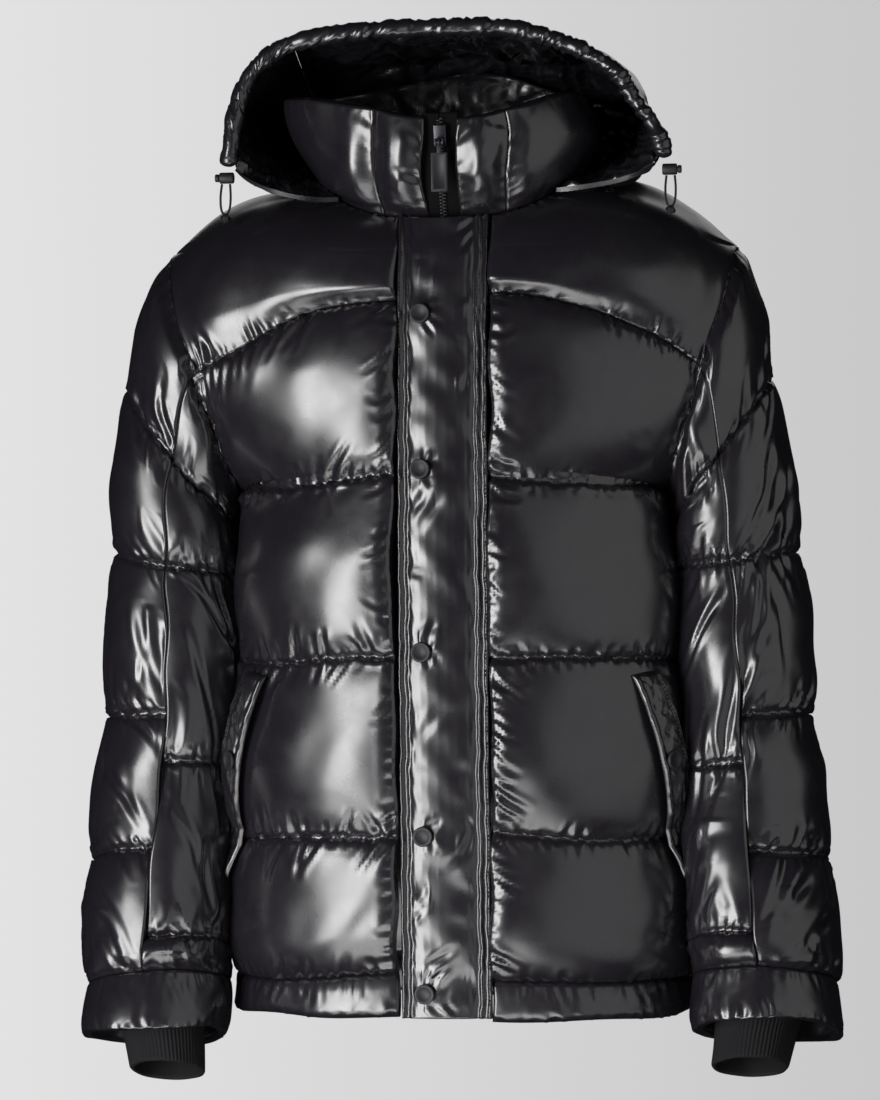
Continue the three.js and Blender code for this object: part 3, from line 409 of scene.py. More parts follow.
def collar_point(base, up):
    up = np.asarray(up, float)
    point = base + (collar_top(base) - base) * up[..., None]
    ahead = unit(point * points(1, 1, 0))
    return point + ahead * (4 * np.sin(np.pi * up))[..., None]


def collar_outward(base):
    ahead = unit(base * points(1, 1, 0))
    rise = unit(collar_top(base) - base)
    return unit(ahead - rise * np.sum(ahead * rise, -1, keepdims=True))


def collar_puff(up, to_end):
    rounded = np.maximum(0, np.sin(np.pi * (0.04 + 0.9 * up))) ** 0.6
    return COLLAR_PUFF * rounded * blend(0.25, 1, smoothstep(to_end, 0, 16)) * smoothstep(up, 0, 0.15)


# The hood. place runs from one lower corner, 0, over the middle, 4, to the other, 8, and back from
# the opening's edge, 0, to the neck seam, 1.

HOOD_ROWS = HOOD_RIBS + [
    {name: (-row[name][0], *row[name][1:]) for name in ("edge", "crown", "nape")} | {"neck": 2 - row["neck"]}
    for row in HOOD_RIBS[-2::-1]
]


def hood_point(place, back):
    place, back = np.broadcast_arrays(np.asarray(place, float), np.asarray(back, float))
    base = neck_base(column_at(HOOD_ROWS, "neck", place))
    up = HOOD_LIFT / 90 * blend(0.3, 1, smoothstep(np.minimum(place, 8 - place), 0, 1))
    lift = collar_puff(up, 99.0) + WALL + 1
    low = collar_point(base, up) + collar_outward(base) * lift[..., None]
    edge, crown, nape = (column_at(HOOD_ROWS, name, place) for name in ("edge", "crown", "nape"))
    t = back[..., None]
    s = 1 - t
    return s ** 3 * edge + 3 * s * s * t * crown + 3 * s * t * t * nape + t ** 3 * low


def hood_outward(place, back):
    step = 0.04
    across = hood_point(np.minimum(8, place + step), back) - hood_point(np.maximum(0, place - step), back)
    along = hood_point(place, np.minimum(1, back + step)) - hood_point(place, np.maximum(0, back - step))
    return unit(np.cross(along, across))


def hood_puff(back, to_seam):
    behind_casing = blend(0.35, 1, smoothstep(back, 0, HOOD_LINES[1]))
    return HOOD_PUFF * channel_bulge(HOOD_LINES, back) * behind_casing * blend(0.03, 1, smoothstep(to_seam, 0, 0.4))


# Grids and meshes


def wander(p, amount=1.0):
    """Moves points a little, by the same slow waves wherever they lie, so that seams aren't ruled lines"""
    waves = np.random.default_rng(SEED)
    moved = np.array(p, float)
    for length, size in ((190, 1.6), (120, 1.2), (74, 0.8), (47, 0.5)):
        for axis in range(3):
            direction = unit(waves.normal(size=3)) * 2 * np.pi / length
            moved[..., axis] += amount * size * np.sin(p @ direction + waves.uniform(0, 2 * np.pi))
    return moved


def level_steps(lines, lengths, fineness=GRID):
    """Places from line to line, each channel in even steps, and whether each place is a line"""
    places = [lines[0]]
    seams = [True]
    for low, high, length in zip(lines, lines[1:], lengths):
        count = max(2, 2 * round(length / fineness / 2))
        places.extend(np.linspace(low, high, count + 1)[1:])
        seams.extend([False] * (count - 1) + [True])
    return np.array(places), np.array(seams)


def finer(grid):
    """The grid with a smooth new row and column between each two"""
    def doubled(a):
        padded = np.concatenate([2 * a[:1] - a[1:2], a, 2 * a[-1:] - a[-2:-1]])
        halves = (9 * (padded[1:-2] + padded[2:-1]) - padded[:-3] - padded[3:]) / 16
        out = np.empty((2 * len(a) - 1, *a.shape[1:]))
        out[::2] = a
        out[1::2] = halves
        return out
    return doubled(doubled(grid).swapaxes(0, 1)).swapaxes(0, 1)


def grid_faces(rows, columns, wraps=False, start=0, flipped=False):
    r, c = np.meshgrid(np.arange(rows - 1), np.arange(columns if wraps else columns - 1), indexing="ij")
    right = (c + 1) % columns
    quads = np.stack([r * columns + c, r * columns + right, (r + 1) * columns + right, (r + 1) * columns + c], -1)
    quads = quads.reshape(-1, 4) + start
    return quads[:, ::-1] if flipped else quads


def make_mesh(name, verts, faces, rims=0):
    """A mesh in metres from points in millimetres and several arrays of faces, each of one size.
    The last arrays, as many as rims says, are a wall's rims, which meet its faces at a crisp edge."""
    mesh = bpy.data.meshes.new(name)
    loops = np.concatenate([f.ravel() for f in faces])
    sizes = np.concatenate([np.full(len(f), f.shape[1]) for f in faces])
    mesh.vertices.add(len(verts))
    mesh.vertices.foreach_set("co", (np.asarray(verts) * MM).astype(np.float32).ravel())
    mesh.loops.add(len(loops))
    mesh.loops.foreach_set("vertex_index", loops.astype(np.int32))
    mesh.polygons.add(len(sizes))
    mesh.polygons.foreach_set("loop_start", np.concatenate([[0], np.cumsum(sizes)[:-1]]).astype(np.int32))
    smooth = np.ones(len(sizes), bool)
    if rims:
        smooth[-sum(len(f) for f in faces[-rims:]):] = False
    mesh.polygons.foreach_set("use_smooth", smooth)
    mesh.update(calc_edges=True)
    mesh.validate()
    return mesh


def add_object(name, mesh, material):
    piece = bpy.data.objects.new(name, mesh)
    bpy.context.scene.collection.objects.link(piece)
    piece.data.materials.append(material)
    return piece


def wall_mesh(name, outer, inner, wraps=False):
    """One closed wall. The inner grid may have only every second or fourth point of the outer one."""
    rows, columns = outer.shape[:2]
    low_rows, low_columns = inner.shape[:2]
    skip = (rows - 1) // (low_rows - 1)
    start = rows * columns
    verts = np.concatenate([outer.reshape(-1, 3), inner.reshape(-1, 3)])
    faces = [grid_faces(rows, columns, wraps), grid_faces(low_rows, low_columns, wraps, start, True)]

    def rim(fine, coarse):
        spans = range(len(coarse) - 1)
        faces.append(np.array([[*fine[skip * i:skip * (i + 1) + 1][::-1], coarse[i], coarse[i + 1]] for i in spans]))

    fine = np.arange(rows * columns).reshape(rows, columns)
    coarse = np.arange(low_rows * low_columns).reshape(low_rows, low_columns) + start
    if wraps:
        fine = np.concatenate([fine, fine[:, :1]], 1)
        coarse = np.concatenate([coarse, coarse[:, :1]], 1)
    rim(fine[0], coarse[0])
    rim(fine[-1, ::-1], coarse[-1, ::-1])
    if not wraps:
        rim(fine[:, -1], coarse[:, -1])
        rim(fine[::-1, 0], coarse[::-1, 0])
    return make_mesh(name, verts, faces, len(faces) - 2)


def face_outwards(mesh):
    """Turns a closed mesh the right way out"""
    work = bmesh.new()
    work.from_mesh(mesh)
    if work.calc_volume(signed=True) < 0:
        bmesh.ops.reverse_faces(work, faces=work.faces)
    work.to_mesh(mesh)
    work.free()


# Folds. A panel's relief is a field of heights over its fine grid, pressed in crease by crease.


def measure(grid):
    """How far each point of a grid lies along its row and along its column, in millimetres"""
    along = np.linalg.norm(np.diff(grid, axis=1), axis=-1)
    down = np.linalg.norm(np.diff(grid, axis=0), axis=-1)
    u = np.concatenate([np.zeros((len(grid), 1)), np.cumsum(along, 1)], 1)
    v = np.concatenate([np.zeros((1, grid.shape[1])), np.cumsum(down, 0)], 0)
    return u, v


def press(heights, u, v, start, end, width, depth, taper):
    """Presses one crease between two places, each a row and a column. taper is "seam", deepest at its
    start, or "free", deepest in its middle."""
    margin = 5
    rows, columns = heights.shape
    window = tuple(
        slice(max(0, int(min(a, b)) - margin), min(size, int(max(a, b)) + margin + 1))
        for a, b, size in zip(start, end, (rows, columns))
    )

    def at(place):
        r = min(max(int(round(place[0])), 0), rows - 1)
        c = min(max(int(round(place[1])), 0), columns - 1)
        return np.array([u[r, c], v[r, c]])

    a, b = at(start), at(end)
    line = b - a
    length = float(np.hypot(*line))
    if length < 1:
        return
    line /= length
    du = u[window] - a[0]
    dv = v[window] - a[1]
    along = du * line[0] + dv * line[1]
    beyond = along - np.clip(along, 0, length)
    across = np.hypot(du * line[1] - dv * line[0], beyond)
    groove = np.exp(-(across / width) ** 2)
    ridge = np.exp(-((across - 1.9 * width) / width) ** 2)
    t = np.clip(along / length, 0, 1)
    fade = (1 - t) ** 0.8 if taper == "seam" else np.sin(np.pi * np.clip(t, 0.04, 0.96)) ** 0.8
    heights[window] -= depth * (groove - 0.55 * ridge) * fade


def pucker(heights, u, v, row, side, spec, rng):
    """Short creases that run from one seam row into the panel beside it, side being 1 for rows after it"""
    columns = heights.shape[1]
    step_u = float(np.mean(np.diff(u[row])))
    step_v = float(np.mean(np.diff(v, axis=0)))
    column = rng.uniform(0, spec["spacing"]) / step_u
    while column < columns - 1:
        reach = spec["reach"][0] + (spec["reach"][1] - spec["reach"][0]) * rng.random() ** 2
        slant = rng.normal(spec["slant"], 0.3) * reach
        end = (row + side * reach / step_v, column + slant / step_u)
        width = rng.uniform(1.9, 3.0) * (0.7 + reach / 60)
        press(heights, u, v, (row, column), end, width, spec["depth"] * rng.uniform(0.35, 1.0), "seam")
        column += rng.uniform(0.45, 1.7) * spec["spacing"] / step_u


def scatter(heights, u, v, spec, rng):
    """Free folds at random places, leaning by an angle from the vertical"""
    rows, columns = heights.shape
    step_u = float(np.mean(np.diff(u, axis=1)))
    step_v = float(np.mean(np.diff(v, axis=0)))
    for _ in range(spec["count"]):
        row = rng.uniform(0, rows)
        column = rng.uniform(0, columns)
        length = rng.uniform(*spec["length"])
        lean = math.radians(rng.normal(spec["lean"], spec["spread"]))
        end = (row + length * math.cos(lean) / step_v, column + length * math.sin(lean) / step_u)
        press(heights, u, v, (row, column), end, rng.uniform(*spec["width"]),
              spec["depth"] * rng.uniform(0.3, 1), "free")


def normals_of(grid, towards):
    """Unit normals of a grid's points, on the side that towards points to"""
    normal = unit(np.cross(np.gradient(grid, axis=1), np.gradient(grid, axis=0)))
    return normal * np.sign(np.sum(normal * towards))


def relief(grid, seams, folds, rng):
    """Heights of a panel's puckers and folds. seams are the fine grid's sewn rows."""
    u, v = measure(grid)
    heights = np.zeros(grid.shape[:2])
    last = grid.shape[0] - 1
    for row in seams:
        for side in (1, -1):
            if 0 <= row + 3 * side <= last and folds.get("seam"):
                spec = dict(folds["seam"])
                spec["slant"] = spec["slant"] if side == folds.get("down", -1) else 0.0
                pucker(heights, u, v, row, side, spec, rng)
    for name, column, side in (("first", 0, 1), ("last", grid.shape[1] - 1, -1)):
        if folds.get(name):
            turned = heights.T
            pucker(turned, v.T, u.T, column, side, folds[name], rng)
    for spec in folds.get("free", ()):
        scatter(heights, u, v, spec, rng)
    for crease in folds.get("creases", ()):
        rows, columns = heights.shape
        start = (crease[0][0] * (rows - 1), crease[0][1] * (columns - 1))
        end = (crease[1][0] * (rows - 1), crease[1][1] * (columns - 1))
        press(heights, u, v, start, end, crease[2], crease[3], "free")
    if folds.get("crumple"):
        heights += crumple(grid, folds["crumple"], rng)
    return heights


def crumple(grid, size, rng):
    """Sharp facets all over, as in thin glossy cloth that was pulled together"""
    field = np.zeros(grid.shape[:2])
    for length in (44, 27, 17, 12):
        direction = unit(rng.normal(size=3)) * 2 * np.pi / length
        other = unit(rng.normal(size=3)) * 2 * np.pi / (length * 1.7)
        bend = 1.4 * np.sin(grid @ other + rng.uniform(0, 6))
        field += size * length / 44 * (0.6 - np.abs(np.sin(grid @ direction / 2 + bend)))
    return field


def at_seams(heights, rows):
    """Keeps the sewn rows and the edges where they are"""
    out = np.array(heights)
    for row in rows:
        out[row] *= 0.15
    out[0] = 0
    out[-1] = 0
    out[:, 0] = 0
    out[:, -1] = 0
    return out


# Cloth simulation of the padded panels


SHELLS = []
THREAD = []


def add_shell(name, outer, inner, pinned, stretch, lining=None, limit=7.0, wraps=False, folds=None,
              stitched=()):
    """Notes a padded panel for the simulation: its outer and inner grids and which points are sewn"""
    SHELLS.append({
        "name": name, "outer": outer, "inner": inner, "pinned": pinned, "stretch": stretch,
        "lining": lining, "limit": limit, "wraps": wraps, "folds": folds or {}, "stitched": stitched,
    })


def cloth_sheet(name, grid, pinned, stretch, pressure, wraps, towards):
    """An open sheet that swells along its outward side between pinned lines.
    stretch is the cloth's fullness: how much longer than its seams it was cut, along X, Y and Z."""
    rows, columns = grid.shape[:2]
    jitter = np.random.default_rng(SEED + len(name)).normal(size=grid.shape) * 0.05
    start = grid + jitter * (~pinned)[..., None]
    faces = grid_faces(rows, columns, wraps)
    mesh = make_mesh(name, start.reshape(-1, 3), [faces])
    normals = np.cross(grid[:-1, 1:] - grid[:-1, :-1], grid[1:, :-1] - grid[:-1, :-1])
    if np.sum(normals * towards[:-1, :-1]) < 0:
        mesh.flip_normals()
    sheet = bpy.data.objects.new(name, mesh)
    bpy.context.scene.collection.objects.link(sheet)
    sheet.shape_key_add(name="Basis")
    rest = sheet.shape_key_add(name="Rest")
    middle = grid.reshape(-1, 3).mean(0)
    cut = (middle + (grid - middle) * np.array(stretch)) * MM
    rest.data.foreach_set("co", cut.astype(np.float32).ravel())
    group = sheet.vertex_groups.new(name="sewn")
    group.add(np.flatnonzero(pinned.ravel()).tolist(), 1.0, "REPLACE")
    cloth = sheet.modifiers.new("Cloth", "CLOTH")
    settings = cloth.settings
    settings.quality = 4
    settings.mass = 0.2
    settings.tension_stiffness = 15
    settings.compression_stiffness = 8
    settings.shear_stiffness = 4
    settings.bending_stiffness = 0.3
    settings.tension_damping = 8
    settings.compression_damping = 8
    settings.air_damping = 2
    settings.use_pressure = True
    settings.uniform_pressure_force = pressure
    settings.effector_weights.gravity = 0
    settings.vertex_group_mass = "sewn"
    settings.rest_shape_key = rest
    cloth.collision_settings.use_collision = False
    cloth.point_cache.frame_start = 1
    cloth.point_cache.frame_end = 40
    return sheet


def swell(sheets, frames):
    """Steps all the sheets together and returns where their points come to"""
    scene = bpy.context.scene
    for number in range(1, frames + 1):
        scene.frame_set(number)
    graph = bpy.context.evaluated_depsgraph_get()
    found = []
    for sheet in sheets:
        mesh = sheet.evaluated_get(graph).data
        co = np.empty(len(mesh.vertices) * 3, np.float32)
        mesh.vertices.foreach_get("co", co)
        found.append(co.reshape(-1, 3).astype(float) / MM)
    for sheet in sheets:
        data = sheet.data
        bpy.data.objects.remove(sheet)
        bpy.data.meshes.remove(data)
    scene.frame_set(1)
    return found


def capped(start, end, limit):
    move = end - start
    size = np.linalg.norm(move, axis=-1, keepdims=True)
    return start + move * np.minimum(1, limit / np.maximum(size, 1e-9))


def evened(move, pinned, rounds):
    """Smooths a panel's swelling, which stays nothing where the panel is sewn"""
    out = np.array(move)
    for _ in range(rounds):
        near = np.pad(out, ((1, 1), (1, 1), (0, 0)), mode="edge")
        out = out / 2 + (near[:-2, 1:-1] + near[2:, 1:-1] + near[1:-1, :-2] + near[1:-1, 2:]) / 8
        out[pinned] = 0
    return out


def build_shells(material, frames, pressure):
    """Swells every noted panel, presses in its folds and makes its closed wall"""
    sheets = []
    wanted = []
    for shell in SHELLS:
        outward = shell["outer"] - inner_at_outer(shell)
        shell["outward"] = outward
        sheets.append(cloth_sheet(shell["name"] + "_sheet", shell["outer"], shell["pinned"], shell["stretch"],
                                  pressure, shell["wraps"], outward))
        wanted.append((shell, "outer"))
        if shell["lining"] is not None:
            sheets.append(cloth_sheet(shell["name"] + "_lining", shell["lining"], shell["pinned"], shell["stretch"],
                                      pressure / 2, shell["wraps"], -outward))
            wanted.append((shell, "lining"))
    for (shell, key), found in zip(wanted, swell(sheets, frames)):
        if not np.all(np.isfinite(found)):
            raise RuntimeError(f"the cloth of {shell['name']} came apart")
        start = shell[key]
        move = capped(start, found.reshape(start.shape), shell["limit"]) - start
        rounds = 0 if shell["wraps"] else shell["folds"].get("even", 3)
        shell[key] = start + evened(move, shell["pinned"], rounds)
    for number, shell in enumerate(SHELLS):
        finish_shell(shell, material, np.random.default_rng(SEED + number))


# How far the filled jacket hangs to one side, by height: of the wearer's right sleeve and the hood's left
HANG = [
    {"z": -700, "sleeve": 4, "hood": 0},
    {"z": -420, "sleeve": -2, "hood": 0},
    {"z": -230, "sleeve": -9, "hood": 0},
    {"z": -90, "sleeve": -12, "hood": 0},
    {"z": 10, "sleeve": -4, "hood": 0},
    {"z": 55, "sleeve": 0, "hood": -4},
    {"z": 85, "sleeve": 0, "hood": -20},
    {"z": 170, "sleeve": 0, "hood": -24},
]


def hang(p):
    """Shifts points sideways as the filled jacket hangs: the right sleeve out, the hood's left side in"""
    out = np.array(p, float)
    heights = [row["z"] for row in HANG]
    sleeve = np.interp(p[..., 2], heights, [row["sleeve"] for row in HANG])
    hood = np.interp(p[..., 2], heights, [row["hood"] for row in HANG])
    out[..., 0] += sleeve * smoothstep(-p[..., 0], 150, 230)
    out[..., 0] += hood * smoothstep(p[..., 0], 20, 150)
    out[..., 2] += 6 * smoothstep(-p[..., 2], 520, 640) * smoothstep(p[..., 0], 170, 200)
    out[..., 2] -= 5 * smoothstep(p[..., 2], 70, 130) * smoothstep(p[..., 0], 30, 110)
    leaning = smoothstep(-p[..., 0], 60, 110) * (1 - smoothstep(-p[..., 0], 115, 165))
    out[..., 0] -= 9 * smoothstep(p[..., 2], 40, 90) * leaning
    return out


def finish_shell(shell, material, rng):
    outer = finer_any(shell["outer"], shell["wraps"])
    seams = 2 * np.flatnonzero(shell["pinned"][:, 1:-1].all(1))
    towards = finer_any(shell["outward"], shell["wraps"])
    normal = normals_of(outer, towards)
    heights = at_seams(relief(outer, seams, shell["folds"], rng), seams)
    outer = outer + normal * heights[..., None]
    inner = shell["inner"]
    if shell["lining"] is not None:
        inner = finer_any(shell["lining"], shell["wraps"])
        crumpled = crumple(inner, shell["folds"].get("lining", 1.0), rng)
        inner = inner + normals_of(inner, -towards) * at_seams(crumpled, [])[..., None]
    outer, inner = hang(outer), hang(inner)
    mesh = wall_mesh(shell["name"], outer, inner, shell["wraps"])
    face_outwards(mesh)
    piece = add_object(shell["name"], mesh, material)
    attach(piece, "jacket")
    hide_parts(shell["name"])
    for row in shell["stitched"]:
        at = seams[row]
        THREAD.append((outer[at], normal[at]))


def finer_any(grid, wraps):
    if not wraps:
        return finer(grid)
    pad = np.concatenate([grid[:, -2:], grid, grid[:, :2]], 1)
    return finer(pad)[:, 4:-3]


def inner_at_outer(shell):
    """The inner grid's points at every point of the outer grid, coarse ones repeated"""
    rows, columns = shell["outer"].shape[:2]
    low_rows, low_columns = shell["inner"].shape[:2]
    r = np.minimum(np.arange(rows) * low_rows // rows, low_rows - 1)
    c = np.minimum(np.arange(columns) * low_columns // columns, low_columns - 1)
    return shell["inner"][r][:, c]


def edge_gap(grid, sides=(True, True, True, True)):
    """Pulls a grid's edges in by half the seam gap: first row, last row, first and last column"""
    out = np.array(grid)
    half = SEAM_GAP / 2
    if sides[0]:
        out[0] += unit(grid[1] - grid[0]) * half
    if sides[1]:
        out[-1] += unit(grid[-2] - grid[-1]) * half
    if sides[2]:
        out[:, 0] += unit(grid[:, 1] - grid[:, 0]) * half
    if sides[3]:
        out[:, -1] += unit(grid[:, -2] - grid[:, -1]) * half
    return out


def mirror(grid):
    return grid * points(-1, 1, 1)


def both_sides(name, build):
    """Notes a panel of the wearer's left and its mirror image, each with folds of its own"""
    for side, sign in (("left", 1), ("right", -1)):
        build(f"{name}_{side}", sign)


def noted(name, sign, outer, inner, pinned, stretch, **options):
    """Notes a panel, with its grids mirrored for the wearer's right, after the seams' slow waves"""
    if sign < 0:
        outer, inner = mirror(outer), mirror(inner)
        if options.get("lining") is not None:
            options["lining"] = mirror(options["lining"])
    outer = wander(outer)
    inner = wander(inner)
    if options.get("lining") is not None:
        options["lining"] = wander(options["lining"])
    add_shell(name, outer, inner, pinned, stretch, **options)


BODY_LENGTHS = [30, 111, 136, 140, 142]


def eased(grid, rounds):
    """Evens out a grid's inner points along its columns, less and less towards its side edges"""
    out = np.array(grid)
    for _ in range(rounds):
        out[1:-1, 1:-1] = out[1:-1, 1:-1] / 2 + (out[:-2, 1:-1] + out[2:, 1:-1]) / 4
    column = np.arange(grid.shape[1])
    share = smoothstep(np.minimum(column, column[::-1]), 0, 12)[:, None]
    return blend(grid, out, share)


def body_panel(places, seams, face, start, end, count, fullness, ease=0):
    """Outer grid, inner grid and pins of a body panel whose columns run between two angles"""
    first = start(places) if callable(start) else np.full_like(places, start)
    c = np.linspace(0, 1, count + 1)
    angle = first[:, None] + (end - first[:, None]) * c
    place = np.broadcast_to(places[:, None], angle.shape)
    base = eased(body_point(place, angle, face), ease)
    out = unit(eased(body_outward(place, angle, face), ease))
    outer = edge_gap(base + out * body_puff(place, angle, face)[..., None] * fullness)
    inner = edge_gap((base - out * WALL)[::2, ::2])
    pinned = np.zeros(angle.shape, bool)
    pinned[seams] = True
    pinned[:, 0] = True
    pinned[:, -1] = True
    return outer, inner, pinned


def front_start(places):
    side_x = body_row(places, -1)[2][..., 0]
    return np.arcsin((PLACKET_HALF + 1) / side_x)


# The wearer's right front is more creased than the left, by 1 for left and -1 for right
FRONT_FOLDS = {
    -1: {
        "seam": {"spacing": 7, "reach": (6, 34), "slant": 0.5, "depth": 2.9},
        "first": {"spacing": 8, "reach": (6, 24), "slant": -0.5, "depth": 2.2},
        "last": {"spacing": 12, "reach": (6, 26), "slant": 0.2, "depth": 1.4},
        "free": [{"count": 5, "length": (30, 60), "lean": -32, "spread": 14, "width": (4, 7), "depth": 0.5}],
    },
    1: {
        "seam": {"spacing": 6, "reach": (5, 16), "slant": 0.2, "depth": 2.6},
        "first": {"spacing": 7, "reach": (5, 26), "slant": -0.6, "depth": 2.8},
        "last": {"spacing": 12, "reach": (6, 26), "slant": 0.2, "depth": 1.4},
        "free": [{"count": 2, "length": (30, 60), "lean": 32, "spread": 14, "width": (4, 7), "depth": 0.5}],
    },
}
YOKE_FOLDS = {"seam": {"spacing": 7, "reach": (5, 20), "slant": 0.1, "depth": 2.6}}
CASING_FOLDS = {
    "seam": {"spacing": 8, "reach": (8, 26), "slant": 0.2, "depth": 1.6},
    "first": {"spacing": 10, "reach": (4, 14), "slant": 0, "depth": 1.0},
}


def add_front(name, sign, lines, lengths, fullness, folds, limit=8.0, ease=0):
    places, seams = level_steps(lines, lengths)
    outer, inner, pinned = body_panel(places, seams, -1, front_start, np.pi / 2, 44, fullness, ease)
    noted(name, sign, outer, inner, pinned, (1.06, 1.06, 1.0), limit=limit, folds=folds, stitched=range(1, len(lines) - 1))


def add_back(name, lines, lengths, fullness, folds, limit=8.0, ease=0):
    places, seams = level_steps(lines, lengths)
    outer, inner, pinned = body_panel(places, seams, 1, -np.pi / 2, np.pi / 2, 104, fullness, ease)
    pinned[:, 1:-1] = seams[:, None]
    noted(name, 1, outer, inner, pinned, (1.06, 1.06, 1.0), limit=limit, folds=folds,
          stitched=range(1, len(lines) - 1))


def note_body(fullness):
    channels = [1, 2, 3, 4, 5]
    lengths = BODY_LENGTHS[1:]
    for name, sign in (("left", 1), ("right", -1)):
        add_front("front_" + name, sign, channels, lengths, fullness, FRONT_FOLDS[sign])
        add_front("front_yoke_" + name, sign, [5, 6], [150], fullness, YOKE_FOLDS, 5.0, 60)
        add_front("hem_casing_front_" + name, sign, [0, 1], [36], fullness, CASING_FOLDS, 3.0)
    back_folds = {**FRONT_FOLDS[-1], "first": FRONT_FOLDS[-1]["last"]}
    add_back("back", channels, lengths, fullness, back_folds)
    add_back("back_yoke", [5, 6], [150], fullness, YOKE_FOLDS, 5.0, 60)
    add_back("hem_casing_back", [0, 1], [36], fullness, CASING_FOLDS, 3.0)


SLEEVE_FOLDS = {
    "down": 1,
    "even": 2,
    "seam": {"spacing": 9, "reach": (8, 40), "slant": 0.35, "depth": 2.3},
    "first": {"spacing": 12, "reach": (6, 30), "slant": 0.5, "depth": 1.4},
    "last": {"spacing": 12, "reach": (6, 30), "slant": 0.5, "depth": 1.4},
    "free": [{"count": 44, "length": (35, 100), "lean": 26, "spread": 20, "width": (3.5, 7.5), "depth": 3.0}],
}


def add_sleeve(name, sign, first, last, lines, front):
    folds = {**SLEEVE_FOLDS, front: None}
    spans = [128 * (b - a) for a, b in zip(lines, lines[1:])]
    places, seams = level_steps(lines, spans)
    angle, place = np.meshgrid(np.linspace(first, last, 45), places)
    base = sleeve_point(place, angle)
    out = sleeve_outward(place, angle)
    outer = edge_gap(base + out * sleeve_puff(place, angle, lines)[..., None] * 0.8)
    inner = edge_gap((base - out * WALL)[::2, ::2])
    pinned = np.zeros(angle.shape, bool)
    pinned[seams] = True
    pinned[:, 0] = True
    pinned[:, -1] = True
    noted(name, sign, outer, inner, pinned, (1.07, 1.07, 1.02), limit=6.0, folds=folds,
          stitched=range(1, len(lines) - 1))


def note_sleeves():
    both_sides("sleeve_outer", lambda name, sign: add_sleeve(name, sign, -90, 90, OUTER_LINES, "last"))
    both_sides("sleeve_under", lambda name, sign: add_sleeve(name, sign, 90, 270, UNDER_LINES, "first"))


def add_cuff_band(name, sign):
    places, seams = level_steps([CUFF, SLEEVE_END], [42])
    angle, place = np.meshgrid(np.linspace(0, 360, 88, endpoint=False), places)
    base = sleeve_point(place, angle)
    out = sleeve_outward(place, angle)
    rise = CUFF_PUFF * np.sin(np.pi * 0.8 * (place - CUFF)) ** 0.8
    outer = edge_gap(base + out * rise[..., None], (True, False, False, False))
    inner = (base - out * WALL)[::2, ::2]
    pinned = np.zeros(angle.shape, bool)
    pinned[seams] = True
    folds = {"down": 1, "seam": {"spacing": 10, "reach": (8, 34), "slant": 0.1, "depth": 1.6}}
    noted(name, sign, outer, inner, pinned, (1.04, 1.04, 1.0), limit=3.0, wraps=True, folds=folds)


def collar_grids(shares, to_end):
    ups = np.linspace(0, 1, 21)
    share, up = np.meshgrid(shares, ups)
    base = neck_base(share)
    out = collar_outward(base)
    point = collar_point(base, up)
    puff = collar_puff(up, np.broadcast_to(to_end, up.shape))
    outer = edge_gap(point + out * puff[..., None], (True, False, True, True))
    inner = edge_gap(point - out * WALL, (True, False, True, True))
    pinned = np.zeros(up.shape, bool)
    pinned[0] = True
    pinned[-1] = True
    pinned[:, 0] = True
    pinned[:, -1] = True
    return outer, inner, pinned


COLLAR_FOLDS = {
    "seam": {"spacing": 18, "reach": (6, 26), "slant": 0.15, "depth": 0.9},
    "first": {"spacing": 14, "reach": (8, 30), "slant": 0.6, "depth": 1.3},
    "last": {"spacing": 14, "reach": (8, 30), "slant": 0.6, "depth": 1.3},
    "free": [{"count": 5, "length": (20, 45), "lean": 20, "spread": 15, "width": (3, 5), "depth": 0.9}],
    "lining": 2.4,
}


def note_collar():
    def flap(name, sign):
        shares = np.linspace(0, SEAM_SHARE, 11)
        at = shares * NECK_LENGTH
        outer, inner, pinned = collar_grids(shares, np.minimum(at, at[-1] - at))
        noted(name, sign, outer, inner, pinned, (1.05, 1.05, 1.06), lining=inner, limit=5.0, folds=COLLAR_FOLDS)

    both_sides("collar_flap", flap)
    shares = np.linspace(SEAM_SHARE, 2 - SEAM_SHARE, 107)
    at = shares * NECK_LENGTH
    outer, inner, pinned = collar_grids(shares, np.minimum(at - at[0], at[-1] - at))
    noted("collar", 1, outer, inner, pinned, (1.06, 1.06, 1.06), lining=inner, limit=7.0, folds=COLLAR_FOLDS)


def hood_start(place):
    edge = column_at(HOOD_ROWS, "edge", place)
    crown = column_at(HOOD_ROWS, "crown", place)
    return CASING_CLEAR / (3 * np.linalg.norm(edge - crown, axis=-1))


def add_hood_panel(name, sign, first, last, count):
    backs, seams = level_steps(HOOD_LINES, [110, 110, 110])
    place, back = np.meshgrid(np.linspace(first, last, count), backs)
    to_seam = np.minimum(place - first, last - place)
    at = np.maximum(back, hood_start(place))
    base = hood_point(place, at)
    out = hood_outward(place, back)
    outer = edge_gap(base + out * hood_puff(back, to_seam)[..., None])
    inner = edge_gap(base - out * WALL)
    pinned = np.zeros(place.shape, bool)
    pinned[seams] = True
    pinned[:, 0] = True
    pinned[:, -1] = True
    folds = {
        "seam": {"spacing": 9, "reach": (8, 34), "slant": 0.1, "depth": 1.6},
        "first": {"spacing": 12, "reach": (6, 28), "slant": 0.2, "depth": 1.3},
        "last": {"spacing": 12, "reach": (6, 28), "slant": 0.2, "depth": 1.3},
        "free": [{"count": 20, "length": (25, 60), "lean": 10, "spread": 40, "width": (3.5, 6), "depth": 1.2}],
        "lining": 5.0,
    }
    noted(name, sign, outer, inner, pinned, (1.06, 1.06, 1.06), lining=inner, limit=7.0, folds=folds,
          stitched=range(1, len(HOOD_LINES) - 1))


